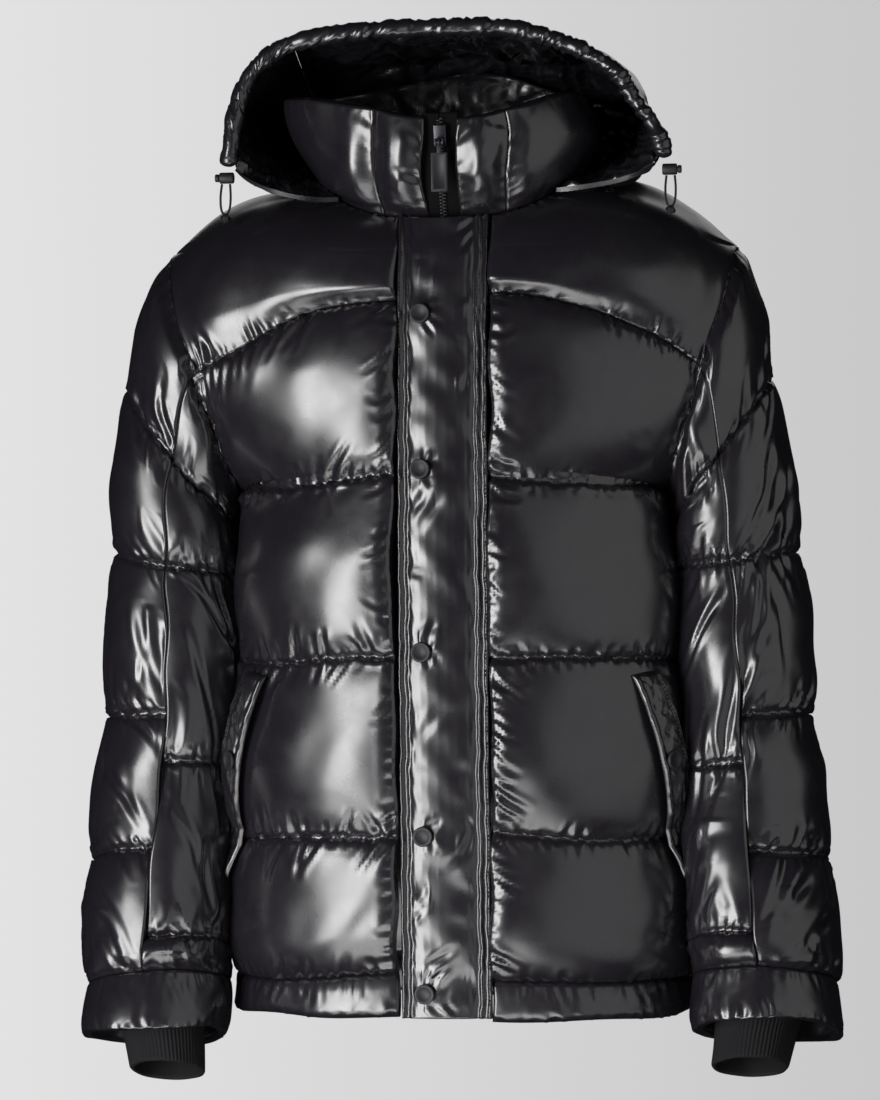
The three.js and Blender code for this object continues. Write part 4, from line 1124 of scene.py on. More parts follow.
def note_hood():
    both_sides("hood_side", lambda name, sign: add_hood_panel(name, sign, 0, HOOD_SEAM, 47))
    add_hood_panel("hood_centre", 1, HOOD_SEAM, 8 - HOOD_SEAM, 57)


# Front opening: placket, zip and press studs


def side_x(place):
    return body_row(np.asarray(place, float), -1)[2][..., 0]


def strip_point(place, x, lift):
    """Point in front of the body at a place and an X, lifted off its seam surface"""
    place, x, lift = np.broadcast_arrays(*(np.asarray(a, float) for a in (place, x, lift)))
    angle = np.arcsin(np.clip(x / side_x(place), -1, 1))
    return body_point(place, angle, -1) + body_outward(place, angle, -1) * lift[..., None]


def place_at(z, x):
    """Place on the front where its surface reaches a height at an X"""
    z, x = np.broadcast_arrays(np.asarray(z, float), np.asarray(x, float))
    low = np.zeros(z.shape)
    high = np.full(z.shape, float(NECK))
    for _ in range(26):
        middle = (low + high) / 2
        below = strip_point(middle, x, 0)[..., 2] < z
        low = np.where(below, middle, low)
        high = np.where(below, high, middle)
    return low


def waver(at, lengths, sizes, rng):
    """Slow waves along a line"""
    return sum(size * np.sin(2 * np.pi * at / length + rng.uniform(0, 6)) for length, size in zip(lengths, sizes))


# Across the placket: X and how far the cloth stands off the fronts' seam surface
PLACKET_PROFILE = [
    (-35, 0.8), (-34.6, 3.4), (-33.6, 4.4), (-32.2, 3.8), (-30.8, 2.4), (-29.6, 1.6), (-28.4, 2.2), (-26.8, 4.0),
    (-25.6, 4.2), (-24.4, 3.8), (-22, 4.6), (-18, 5.5), (-12, 6.2), (-4, 6.6), (4, 6.5), (11, 6.0), (17, 5.0),
    (21.5, 3.8), (23.4, 2.6), (24.4, 1.6), (25.3, 2.6), (26.4, 4.4), (27.8, 4.2), (29.2, 2.4), (30.4, 1.6),
    (31.6, 2.6), (32.8, 4.2), (34.2, 3.8), (35, 0.8),
]
PLACKET_STEP = 0.85
PLACKET_STITCHES = (-32.4, -26.9, 27.4, 32.6)


def build_placket(material):
    rng = np.random.default_rng(SEED + 50)
    lengths = [30, *BODY_LENGTHS[1:], 62]
    places, _ = level_steps(range(NECK + 1), lengths, 2.4)
    xs = np.linspace(-PLACKET_HALF, PLACKET_HALF, 2 * round(PLACKET_HALF / PLACKET_STEP) + 1)
    profile = np.array(PLACKET_PROFILE)
    lift = np.interp(xs, profile[:, 0], profile[:, 1])
    lift[1:-1] = (lift[:-2] + 2 * lift[1:-1] + lift[2:]) / 4
    x, place = np.meshgrid(xs, places)
    down = strip_point(places, 0, 0)[:, 2][:, None]
    band = smoothstep(x, -27, -21) * smoothstep(x, 25, 19)
    piping = 1 - band
    swell_by = waver(down, (67, 41, 23), (0.5, 0.35, 0.2), rng) + waver(down + x, (55, 31), (0.3, 0.2), rng)
    lifts = lift + band * (swell_by - 0.8) + piping * waver(down + 3 * x, (14, 9), (0.25, 0.2), rng) * (lift / 5)
    shift = waver(down, (90, 38, 21), (0.35, 0.3, 0.2), rng) * (1 - smoothstep(np.abs(x), 33, 35))
    outer = strip_point(place, x + shift, np.maximum(0.6, lifts))
    inner = strip_point(place, x, PLACKET_CLEAR)[::2, ::2]
    outer = edge_gap(outer, (False, True, False, False))
    inner = edge_gap(inner, (False, True, False, False))
    u, v = measure(outer)
    heights = np.zeros(x.shape)
    scatter(heights, u, v, {"count": 16, "length": (14, 46), "lean": 35, "spread": 25, "width": (2.2, 4.6),
                            "depth": 1.1}, rng)
    scatter(heights, u, v, {"count": 12, "length": (10, 30), "lean": -60, "spread": 25, "width": (1.8, 3.2),
                            "depth": 0.9}, rng)
    for level in STUD_LEVELS:
        row = np.argmin(np.abs(down[:, 0] - level))
        column = np.argmin(np.abs(xs - STUD_X))
        for turn in np.radians([-60, -25, 40, 75]):
            turn += rng.normal(0, 0.15)
            reach = rng.uniform(14, 28)
            start = (row + 8 * math.sin(turn) / 2.4, column + 8 * math.cos(turn) / PLACKET_STEP)
            end = (row + reach * math.sin(turn) / 2.4, column + reach * math.cos(turn) / PLACKET_STEP)
            press(heights, u, v, start, end, rng.uniform(1.8, 3), rng.uniform(0.7, 1.6), "seam")
    heights *= band
    near_stud = np.ones(x.shape)
    for level in STUD_LEVELS:
        near_stud *= 1 - np.exp(-(((x - STUD_X) ** 2 + (down - level) ** 2) / 8.5 ** 2) ** 2)
    outer = outer + normals_of(outer, points(0, -1, 0)) * (heights * near_stud)[..., None]
    mesh = wall_mesh("placket", outer, inner)
    face_outwards(mesh)
    piece = add_object("placket", mesh, material)
    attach(piece, "jacket")
    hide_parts("placket")
    normal = normals_of(outer, points(0, -1, 0))
    for line in PLACKET_STITCHES:
        column = np.argmin(np.abs(xs - line))
        THREAD.append((outer[:, column], normal[:, column]))


def bars(line, outward, length, pitch, thick, lift):
    """Short bars end to end along a line, as of thread: their points and faces"""
    distance = np.concatenate([[0], np.cumsum(np.linalg.norm(np.diff(line, axis=0), axis=1))])
    at = np.arange(pitch / 2, distance[-1] - pitch / 2, pitch)

    def along(values, where):
        return np.stack([np.interp(where, distance, values[:, k]) for k in range(3)], -1)

    centre = along(line, at)
    tangent = unit(along(line, at + 0.5) - along(line, at - 0.5))
    up = unit(along(outward, at))
    beside = unit(np.cross(tangent, up))
    corners = []
    for end in (-1, 1):
        for level, wide in ((-0.5, 0.8), (0.5, 0.5)):
            for side in (-1, 1):
                shrink = 1.0 if level < 0 else 0.75
                corners.append(centre + tangent * end * shrink * length / 2 + up * (lift + level * thick)
                               + beside * side * wide * thick)
    verts = np.stack(corners, 1)
    box = np.array([[0, 1, 3, 2], [4, 6, 7, 5], [0, 4, 5, 1], [2, 3, 7, 6], [0, 2, 6, 4], [1, 5, 7, 3]])
    faces = (box[None] + 8 * np.arange(len(at))[:, None, None]).reshape(-1, 4)
    return verts.reshape(-1, 3), faces


def build_thread(material):
    """All the stitches that show, as one piece of thread"""
    verts = []
    faces = []
    start = 0
    for line, outward in THREAD:
        v, f = bars(line, outward, 2.3, 3.1, 0.45, 0.15)
        verts.append(v)
        faces.append(f + start)
        start += len(v)
    mesh = make_mesh("seam_thread", np.concatenate(verts), [np.concatenate(faces)])
    face_outwards(mesh)
    piece = add_object("seam_thread", mesh, material)
    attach(piece, "jacket")


def select_only(piece):
    bpy.ops.object.select_all(action="DESELECT")
    piece.select_set(True)
    bpy.context.view_layer.objects.active = piece


def bevelled(piece, width, segments=3, angle=30):
    """Rounds a piece's edges with a bevel modifier, applied"""
    select_only(piece)
    bpy.ops.object.transform_apply(location=True, rotation=True, scale=True)
    bevel = piece.modifiers.new("bevel", "BEVEL")
    bevel.width = width * MM
    bevel.segments = segments
    bevel.limit_method = "ANGLE"
    bevel.angle_limit = math.radians(angle)
    bpy.ops.object.modifier_apply(modifier="bevel")
    bpy.ops.object.shade_smooth_by_angle(angle=math.radians(40))
    return piece


def block(size, place, round_by, segments=3):
    """A box with rounded edges: its size and its middle, in millimetres"""
    bpy.ops.object.select_all(action="DESELECT")
    bpy.ops.mesh.primitive_cube_add(size=1, location=[p * MM for p in place])
    piece = bpy.context.object
    piece.scale = [s * MM for s in size]
    return bevelled(piece, round_by, segments)


def rod(radius, length, place, turn, round_by, sides=32):
    """A round bar with rounded rims, turned about X, Y and Z by three angles in degrees"""
    bpy.ops.object.select_all(action="DESELECT")
    bpy.ops.mesh.primitive_cylinder_add(vertices=sides, radius=radius * MM, depth=length * MM,
                                        location=[p * MM for p in place],
                                        rotation=[math.radians(a) for a in turn])
    return bevelled(bpy.context.object, round_by)


def pressed_face(piece, towards, margin, depth):
    """Insets the face that looks most along a direction and presses it in"""
    select_only(piece)
    bpy.ops.object.mode_set(mode="EDIT")
    bpy.ops.mesh.select_mode(type="FACE")
    bpy.ops.mesh.select_all(action="DESELECT")
    work = bmesh.from_edit_mesh(piece.data)
    face = max(work.faces, key=lambda f: f.normal.dot(Vector(towards)) * f.calc_area())
    face.select_set(True)
    bmesh.update_edit_mesh(piece.data)
    bpy.ops.mesh.inset(thickness=margin * MM, depth=0)
    bpy.ops.mesh.inset(thickness=0.25 * MM, depth=-depth * MM)
    bpy.ops.object.mode_set(mode="OBJECT")


def joined(pieces, name):
    bpy.ops.object.select_all(action="DESELECT")
    for piece in pieces:
        piece.select_set(True)
    bpy.context.view_layer.objects.active = pieces[0]
    if len(pieces) > 1:
        bpy.ops.object.join()
    piece = bpy.context.object
    piece.name = name
    piece.data.name = name
    piece.data.transform(piece.matrix_world)
    piece.matrix_world = Matrix.Identity(4)
    return piece


def dress(piece, material, slot, body, *nodes):
    piece.data.materials.clear()
    piece.data.materials.append(material)
    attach(piece, body)
    if nodes:
        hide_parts(*nodes)


def build_studs(material, radius):
    """Press stud caps, modelled once with a dished face and set on the placket and the pockets"""
    master = rod(radius, STUD_THICK, (0, 0, 0), (0, 0, 0), 0.7, 48)
    pressed_face(master, (0, 0, 1), 1.6, 0.35)
    seats = []
    for number, level in enumerate(STUD_LEVELS, 1):
        place = place_at(level, STUD_X)
        lift = PLACKET_CLEAR + PLACKET_THICK + PLACKET_CROWN * (1 - (STUD_X / PLACKET_HALF) ** 4)
        angle = np.arcsin(STUD_X / side_x(place))
        seats.append((f"placket_stud_{number}", strip_point(place, STUD_X, lift), body_outward(place, angle, -1)))
    seat = welt_point(WELT_STUD[0], WELT_STUD[1], WELT_THICK)
    below = welt_point(WELT_STUD[0] + 0.03, WELT_STUD[1], WELT_THICK) - seat
    beside = welt_point(WELT_STUD[0], WELT_STUD[1] + 3, WELT_THICK) - seat
    outward = unit(np.cross(below, beside))
    flip = np.array([-1, 1, 1])
    seats.append(("pocket_stud_left", seat, outward))
    seats.append(("pocket_stud_right", seat * flip, outward * flip))
    for name, seat, outward in seats:
        out = Vector(outward)
        stud = bpy.data.objects.new(name + "_cap", master.data.copy())
        bpy.context.scene.collection.objects.link(stud)
        middle = Vector(seat) + out * (STUD_CLEAR + STUD_THICK / 2)
        stud.data.transform(Matrix.Translation(middle * MM) @ out.to_track_quat("Z", "Y").to_matrix().to_4x4())
        dress(stud, material, "plastic", "jacket", name)
    bpy.data.objects.remove(master)


WELT_STUD = (0.42, -4)


def welt_point(along, across, lift):
    """Point of a pocket welt: along from its top to its bottom, across in millimetres from its middle line"""
    along, across, lift = np.broadcast_arrays(*(np.asarray(a, float) for a in (along, across, lift)))
    turn = np.radians(blend(WELT_TOP["angle"], WELT_BOTTOM["angle"], along)) + across / WELT_RADIUS
    z = blend(WELT_TOP["z"], WELT_BOTTOM["z"], along) + across * WELT_TILT
    place = place_at(z, side_x(3) * np.sin(turn))
    rise = np.maximum(WELT_BRIDGE, body_puff(place, turn, -1)) + WELT_CLEAR + lift
    return body_point(place, turn, -1) + body_outward(place, turn, -1) * rise[..., None]


WELT_PROFILE = [
    (-12, 0.4), (-11.4, 2.6), (-10, 3.6), (-8.4, 2.8), (-7.4, 1.9), (-6, 2.9), (-2, 3.6), (3, 3.8), (6.4, 3.0),
    (7.6, 1.9), (8.8, 2.9), (10.2, 3.6), (11.4, 2.6), (12, 0.4),
]


def build_welts(material):
    rng = np.random.default_rng(SEED + 60)
    profile = np.array(WELT_PROFILE)
    across = np.linspace(-WELT_WIDTH / 2, WELT_WIDTH / 2, 31)
    lift = np.interp(across, profile[:, 0], profile[:, 1])
    along = np.linspace(0, 1, 101)
    s, t = np.meshgrid(across, along)
    for name, sign in (("left", 1), ("right", -1)):
        rise = lift + waver(t * 160 + 2 * s, (31, 17, 9), (0.35, 0.25, 0.15), rng)
        rise *= 1 - 0.8 * (1 - smoothstep(np.minimum(t, 1 - t), 0, 0.02))
        outer = welt_point(t, s, np.maximum(0.2, rise))
        inner = welt_point(t, s, 0)[::2, ::2]
        u, v = measure(outer)
        heights = np.zeros(s.shape)
        scatter(heights, u, v, {"count": 40, "length": (8, 24), "lean": 30, "spread": 40, "width": (1.4, 2.6),
                                "depth": 0.8}, rng)
        heights *= 1 - smoothstep(np.abs(s), 7, 10)
        outer = outer + normals_of(outer, points(0.5, -1, 0)) * heights[..., None]
        if sign < 0:
            outer, inner = mirror(outer), mirror(inner)
        mesh = wall_mesh("pocket_welt_" + name, outer, inner)
        face_outwards(mesh)
        piece = add_object("pocket_welt_" + name, mesh, material)
        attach(piece, "jacket")
        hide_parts("pocket_welt_" + name)
        normal = normals_of(outer, points(0.5 * sign, -1, 0))
        for line in (-9, 9):
            column = np.argmin(np.abs(across - line))
            THREAD.append((outer[:, column], normal[:, column]))


# Zip


TOOTH = (3.0, 2.4, 1.5)
TOOTH_PITCH = 2.7


def zip_line(x, lift):
    """Rows of points behind the front edges, from the hem to the top of the collar"""
    lengths = [30, *BODY_LENGTHS[1:], 62]
    places, _ = level_steps(range(NECK + 1), lengths, 3)
    x = np.asarray(x, float)
    body = strip_point(places[:-1, None], x, lift)
    base = strip_point(np.full(x.shape, float(NECK)), x, 0)
    ups = np.linspace(0, 1, 33)[:, None]
    collar = collar_point(np.broadcast_to(base, (33, *base.shape)), np.broadcast_to(ups, (33, len(x))))
    collar = collar + collar_outward(base) * lift
    rows = np.concatenate([body, collar])
    return rows if len(rows) % 2 else rows[1:]


def build_zip(tape, teeth, pitch):
    behind = -WALL - TAPE_CLEAR - TAPE_THICK
    xs = np.linspace(SEAM_GAP / 2, TAPE_HALF, 9)
    for name, sign in (("left", 1), ("right", -1)):
        outer = zip_line(xs, behind + TAPE_THICK)
        inner = zip_line(xs, behind)
        if sign < 0:
            outer, inner = mirror(outer), mirror(inner)
        mesh = wall_mesh("zip_tape_" + name, outer, inner)
        face_outwards(mesh)
        piece = add_object("zip_tape_" + name, mesh, tape)
        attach(piece, "jacket")
        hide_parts("zip_tape_" + name)
        tooth = block(TOOTH, (0, 0, 0), 0.35, 1)
        line = zip_line([sign * 1.2], behind + TAPE_THICK + TOOTH[1] / 2 - 0.4)[:, 0]
        copies(tooth, line, sign, pitch, "zip_teeth_" + name, teeth)


def copies(master, line, sign, pitch, name, material):
    """Joined copies of one tooth along a line, a pitch apart, the two sides half a pitch out of step"""
    distance = np.concatenate([[0], np.cumsum(np.linalg.norm(np.diff(line, axis=0), axis=1))])
    at = np.arange(pitch * (1 if sign > 0 else 1.5), distance[-1] - 4, pitch)
    centre = np.stack([np.interp(at, distance, line[:, k]) for k in range(3)], -1)
    shape = np.array([v.co for v in master.data.vertices]) / MM
    faces = [list(p.vertices) for p in master.data.polygons]
    verts = (centre[:, None] + shape).reshape(-1, 3)
    sets = {}
    for face in faces:
        sets.setdefault(len(face), []).append(face)
    offsets = (len(shape) * np.arange(len(at)))[:, None, None]
    arrays = [(np.array(group)[None] + offsets).reshape(-1, size) for size, group in sets.items()]
    piece = add_object(name, make_mesh(name, verts, arrays), material)
    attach(piece, "jacket")
    bpy.data.objects.remove(master)


SLIDER_Z = 52
SLIDER = (10, 2.6, 17)
SLIDER_CLEAR = 1
HINGE_OUT = 6.2
HINGE_DROP = 4
EYE_INNER = 1.6
EYE_OUTER = 3.4
EYE_WIDTH = 3.4
PULL = (13, 2.4, 38)
PULL_SHOULDER = 6


def slider_seat():
    """Middle of the slider's plate and its outward direction"""
    base = strip_point(float(NECK), 0.0, 0.0)
    up = (SLIDER_Z - base[2]) / (COLLAR_TOP["front_z"] - base[2])
    outward = collar_outward(base)
    lift = CHAIN_THICK - WALL - TAPE_CLEAR - TAPE_THICK + SLIDER[1] / 2 + SLIDER_CLEAR
    return collar_point(base, np.array(up)) + outward * lift, outward


def build_slider(metal, plastic):
    seat, outward = slider_seat()
    hinge = seat + outward * HINGE_OUT + np.array([0, 0, -HINGE_DROP])
    lean = math.degrees(math.atan2(outward[2], -outward[1]))
    plate = block(SLIDER, (0, 0, 0), 1.0)
    plate.rotation_euler = (-math.radians(lean), 0, 0)
    plate.location = [c * MM for c in seat]
    ears = [block((1.4, 7.7, 4.4), (side * 2.8, hinge[1] + 2.5, hinge[2] + 0.6), 0.4) for side in (-1, 1)]
    pin = rod(1.1, 5.6, (0, hinge[1], hinge[2]), (0, 90, 0), 0.2)
    slider = joined([plate, *ears, pin], "zip_slider_body")
    dress(slider, metal, "metal", "jacket", "zip_slider")
    bpy.ops.object.select_all(action="DESELECT")
    bpy.ops.mesh.primitive_torus_add(
        major_radius=(EYE_INNER + EYE_OUTER) / 2 * MM, minor_radius=(EYE_OUTER - EYE_INNER) / 2 * MM,
        major_segments=36, minor_segments=14, location=[0, hinge[1] * MM, hinge[2] * MM],
        rotation=(0, math.radians(90), 0))
    eye = bpy.context.object
    top = hinge[2] - EYE_OUTER - 0.2
    bottom = hinge[2] - PULL[2]
    neck = block((3.4, PULL[1], PULL_SHOULDER), (0, hinge[1], top - PULL_SHOULDER / 2 + 1), 0.4)
    size = (PULL[0], PULL[1], top - PULL_SHOULDER + 2 - bottom)
    tab = block(size, (0, hinge[1], bottom + size[2] / 2), 0.9)
    pressed_face(tab, (0, -1, 0), 1.4, 0.35)
    pull = joined([tab, neck, eye], "zip_pull_tab")
    dress(pull, plastic, "plastic", "zip_pull", "zip_pull")


# Cuffs, hood casing and drawcords


RIBS = 62


def build_rib_cuffs(material):
    """Knitted tubes with fine ribs, rolled a little at their open end"""
    places = np.linspace(0, 2, 37)
    angle, place = np.meshgrid(np.linspace(0, 2 * np.pi, RIBS * 6, endpoint=False), places)

    def ring(lift):
        back = -(column_at(RIB_RINGS, "depth", place) + lift) * np.sin(angle)
        lean = np.tan(np.radians(column_at(RIB_RINGS, "lean", place)))
        x = column_at(RIB_RINGS, "x", place) + (column_at(RIB_RINGS, "width", place) + lift) * np.cos(angle)
        return points(x, column_at(RIB_RINGS, "y", place) + back, column_at(RIB_RINGS, "z", place) - back * lean)

    ribs = 0.45 * (1 + np.cos(RIBS * angle)) * smoothstep(place, 2, 1.93)
    slack = 0.8 * np.sin(3 * angle + 2 * place) + 0.5 * np.sin(7 * angle - 3 * place)
    outer = ring(ribs + slack * smoothstep(place, 0.2, 0.8) * 0.6)
    inner = ring(-RIB_WALL + slack * smoothstep(place, 0.2, 0.8) * 0.6)[::2, ::2]
    for name, sign in (("left", 1), ("right", -1)):
        walls = (outer, inner) if sign > 0 else (mirror(outer), mirror(inner))
        mesh = wall_mesh("rib_cuff_" + name, *(hang(wall) for wall in walls), wraps=True)
        face_outwards(mesh)
        piece = add_object("rib_cuff_" + name, mesh, material)
        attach(piece, "jacket")
        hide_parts("rib_cuff_" + name)


def build_casing(material):
    """Padded roll round the hood's opening, gathered over its cord"""
    rng = np.random.default_rng(SEED + 70)
    places = np.linspace(0, 8, 361)
    ahead = unit(hood_point(places, 0) - hood_point(places, 0.02))
    centre = hood_point(places, 0) + ahead * BRIM_RADIUS
    tangent = unit(np.gradient(centre, axis=0))
    ahead = unit(ahead - tangent * np.sum(ahead * tangent, -1, keepdims=True))
    beside = np.cross(tangent, ahead)
    distance = np.concatenate([[0], np.cumsum(np.linalg.norm(np.diff(centre, axis=0), axis=1))])
    to_end = np.minimum(distance, distance[-1] - distance)
    closing = np.sqrt(np.clip(1 - (1 - np.clip(to_end / 7, 0, 1)) ** 2, 0.02, 1))
    sides = 33
    turn = np.linspace(-np.pi, np.pi, sides)
    radius = BRIM_RADIUS * closing[:, None] * np.ones(sides)
    grid = centre[:, None] + (ahead[:, None] * np.cos(turn)[:, None] + beside[:, None] * np.sin(turn)[:, None]
                              ) * radius[..., None]
    u, v = measure(grid)
    heights = np.zeros(grid.shape[:2])
    row = 6.0
    step = distance[-1] / (len(places) - 1)
    while row < len(places) - 6:
        for start, end in ((2, rng.uniform(9, 24)), (sides - 3, sides - rng.uniform(9, 24))):
            press(heights, u, v, (row, start), (row + rng.normal(0, 1.8), end), rng.uniform(1.4, 2.4),
                  rng.uniform(0.5, 1.6), "free")
        row += rng.uniform(4, 9) / step
    outward = unit(grid - centre[:, None])
    swell_by = waver(distance, (52, 33, 19), (0.5, 0.5, 0.4), rng)[:, None]
    grid = grid + outward * (np.clip(heights, -2, 2) + swell_by * 0.8)[..., None] * closing[:, None, None]
    grid = grid[:, :-1]
    grid = hang(grid)
    rows, columns = grid.shape[:2]
    caps = [np.arange(columns)[None], np.arange(columns)[None, ::-1] + (rows - 1) * columns]
    mesh = make_mesh("hood_casing", grid.reshape(-1, 3), [grid_faces(rows, columns, True, 0, True), *caps])
    face_outwards(mesh)
    piece = add_object("hood_casing", mesh, material)
    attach(piece, "jacket")
    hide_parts("hood_casing")


LOCK = {"x": 175.5, "y": -67, "z": 26.6, "radius": 4.4, "length": 15}
KNOT = {"x": 174.4, "y": -71.8, "z": -5.2, "radius": 3.7}


def smooth_route(route, steps=8):
    """Points of a smooth curve through a cord's route"""
    rows = [{"p": p} for p in route]
    return column_at(rows, "p", np.linspace(0, len(route) - 1, (len(route) - 1) * steps + 1))


def build_knot(name, sign, material):
    """A small overhand knot: two turns of cord crossed over a core"""
    place = [sign * KNOT["x"] * MM, KNOT["y"] * MM, KNOT["z"] * MM]
    parts = []
    for tilt, turn in ((35, 20), (-40, 110)):
        bpy.ops.object.select_all(action="DESELECT")
        bpy.ops.mesh.primitive_torus_add(
            major_radius=(KNOT["radius"] - CORD_DIAMETER / 2 + 0.4) * MM, minor_radius=CORD_DIAMETER / 2 * MM,
            major_segments=28, minor_segments=12, location=place,
            rotation=(math.radians(tilt), math.radians(turn), 0))
        parts.append(bpy.context.object)
    bpy.ops.object.select_all(action="DESELECT")
    bpy.ops.mesh.primitive_uv_sphere_add(segments=24, ring_count=12, radius=(KNOT["radius"] - 0.4) * MM, location=place)
    parts.append(bpy.context.object)
    for part in parts:
        select_only(part)
        bpy.ops.object.shade_smooth()
    knot = joined(parts, "drawcord_knot_turns_" + name)
    dress(knot, material, "drawcord", "jacket", "drawcord_knot_" + name)
    return knot


def build_cords(material, diameter):
    """Drawcord ends that leave the lock, run down to the knot and go back up"""
    for name, sign in (("left", 1), ("right", -1)):
        knot = build_knot(name, sign, material)
        path = smooth_route(CORD_ROUTE) * np.array([sign, 1, 1]) * MM
        curve = bpy.data.curves.new("drawcord_" + name, "CURVE")
        curve.dimensions = "3D"
        spline = curve.splines.new("POLY")
        spline.points.add(len(path) - 1)
        for point, co in zip(spline.points, path):
            point.co = (*co, 1)
        curve.bevel_depth = diameter / 2
        curve.bevel_resolution = 4
        curve.use_fill_caps = True
        cord = bpy.data.objects.new("drawcord_" + name, curve)
        bpy.context.scene.collection.objects.link(cord)
        curve.materials.append(material)
        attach(cord, "jacket")
        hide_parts("drawcord_" + name)


def build_locks(plastic):
    """Barrel locks on the drawcords, each with its sprung button"""
    for name, sign in (("left", 1), ("right", -1)):
        x = sign * LOCK["x"]
        barrel = rod(LOCK["radius"], LOCK["length"] - 3.4, (x - sign * 1.7, LOCK["y"], LOCK["z"]), (0, 90, 0), 1.3)
        button = rod(LOCK["radius"] - 1.3, 3.2, (x + sign * 5.9, LOCK["y"], LOCK["z"]), (0, 90, 0), 0.9)
        dress(joined([barrel, button], "cord_lock_barrel_" + name), plastic, "plastic", "jacket", "cord_lock_" + name)


# Materials


def add_node(tree, kind, settings=None, links=None):
    """Adds a shader node, sets its own properties and inputs, and links inputs to other sockets"""
    node = tree.nodes.new(kind)
    for name, value in (settings or {}).items():
        if isinstance(name, str) and hasattr(node, name):
            setattr(node, name, value)
        else:
            node.inputs[name].default_value = value
    for name, source in (links or {}).items():
        tree.links.new(source, node.inputs[name])
    return node


def new_material(name):
    material = bpy.data.materials.new(name)
    material.use_nodes = True
    tree = material.node_tree
    tree.nodes.clear()
    place = add_node(tree, "ShaderNodeTexCoord").outputs["Object"]
    return material, tree, place


def finish_material(tree, settings, links):
    shader = add_node(tree, "ShaderNodeBsdfPrincipled", settings, links)
    add_node(tree, "ShaderNodeOutputMaterial", None, {"Surface": shader.outputs["BSDF"]})


def coated_nylon(colour):
    """Nylon taffeta with a glossy polyurethane coat. It mirrors softly, over a fine crinkle."""
    material, tree, place = new_material("coated nylon taffeta")
    crinkle = add_node(tree, "ShaderNodeTexNoise", {"Scale": 420.0, "Detail": 3.0, "Roughness": 0.6},
                       {"Vector": place})
    soft = add_node(tree, "ShaderNodeTexNoise", {"Scale": 45.0, "Detail": 2.0}, {"Vector": place})
    bump = add_node(tree, "ShaderNodeBump", {"Strength": 0.22, "Distance": 0.00012},
                    {"Height": crinkle.outputs["Fac"]})
    rough = add_node(tree, "ShaderNodeMapRange", {"From Min": 0.3, "From Max": 0.7, "To Min": 0.24, "To Max": 0.34},
                     {"Value": soft.outputs["Fac"]})
    finish_material(
        tree,
        {"Base Color": colour, "Coat Weight": 0.25, "Coat Roughness": 0.2, "IOR": 1.5},
        {"Roughness": rough.outputs["Result"], "Normal": bump.outputs["Normal"]},
    )
    return material


def plain_finish(name, colour, roughness, grain, gloss=0.5, metallic=0.0):
    """A surface with a fine even grain, its size in metres. gloss is how strongly it mirrors."""
    material, tree, place = new_material(name)
    noise = add_node(tree, "ShaderNodeTexNoise", {"Scale": 1 / grain, "Detail": 2.0}, {"Vector": place})
    bump = add_node(tree, "ShaderNodeBump", {"Strength": 0.2, "Distance": grain / 6},
                    {"Height": noise.outputs["Fac"]})
    finish_material(
        tree,
        {"Base Color": colour, "Roughness": roughness, "Specular IOR Level": gloss, "Metallic": metallic},
        {"Normal": bump.outputs["Normal"]},
    )
    return material


MATERIALS = {}


def finish(name):
    """The material of one of the jacket's finishes, made when it is first asked for"""
    if name not in MATERIALS:
        colours = bpy.context.scene.jacket_colours
        makers = {
            "shell": lambda: coated_nylon(colours.shell),
            "lining": lambda: plain_finish("brushed nylon lining", colours.lining, 0.55, 0.0005, 0.4),
            "plastic": lambda: plain_finish("moulded acetal", colours.trim, 0.55, 0.0006, 0.35),
            "metal": lambda: plain_finish("gunmetal plated zinc", colours.metal, 0.35, 0.0008, 0.5, 0.9),
            "knit": lambda: plain_finish("polyester rib knit", colours.knit, 0.85, 0.0012, 0.2),
            "tape": lambda: plain_finish("woven polyester tape", colours.tape, 0.9, 0.0009, 0.1),
            "cord": lambda: plain_finish("braided polyester cord", colours.cord, 0.7, 0.0005, 0.3),
            "thread": lambda: plain_finish("polyester sewing thread", colours.thread, 0.85, 0.0003, 0.2),
        }
        MATERIALS[name] = makers[name]()
    return MATERIALS[name]


# Stage

CAMERA_TARGET = Vector((-0.016, 0, -0.268))
CAMERA_AZIMUTH = math.radians(6.5)
CAMERA_ELEVATION = math.radians(1.0)
CAMERA_ROLL = math.radians(0.6)
CAMERA_DISTANCE = 2.9
FRAME_HEIGHT = 0.88


def view_direction(azimuth, elevation):
    """Direction from the target to something at an azimuth from the front and an elevation"""
    return Vector((
        math.sin(azimuth) * math.cos(elevation),
        -math.cos(azimuth) * math.cos(elevation),
        math.sin(elevation),
    ))


def add_camera():
    data = bpy.data.cameras.new("camera")
    camera = bpy.data.objects.new("camera", data)
    bpy.context.scene.collection.objects.link(camera)
    out = view_direction(CAMERA_AZIMUTH, CAMERA_ELEVATION)
    camera.location = CAMERA_TARGET + out * CAMERA_DISTANCE
    turn = out.to_track_quat("Z", "Y").to_matrix().to_4x4()
    camera.matrix_world = Matrix.Translation(camera.location) @ turn @ Matrix.Rotation(-CAMERA_ROLL, 4, "Z")
    data.sensor_fit = "VERTICAL"
    data.sensor_height = 36
    data.lens = 36 * CAMERA_DISTANCE / FRAME_HEIGHT
    bpy.context.scene.camera = camera


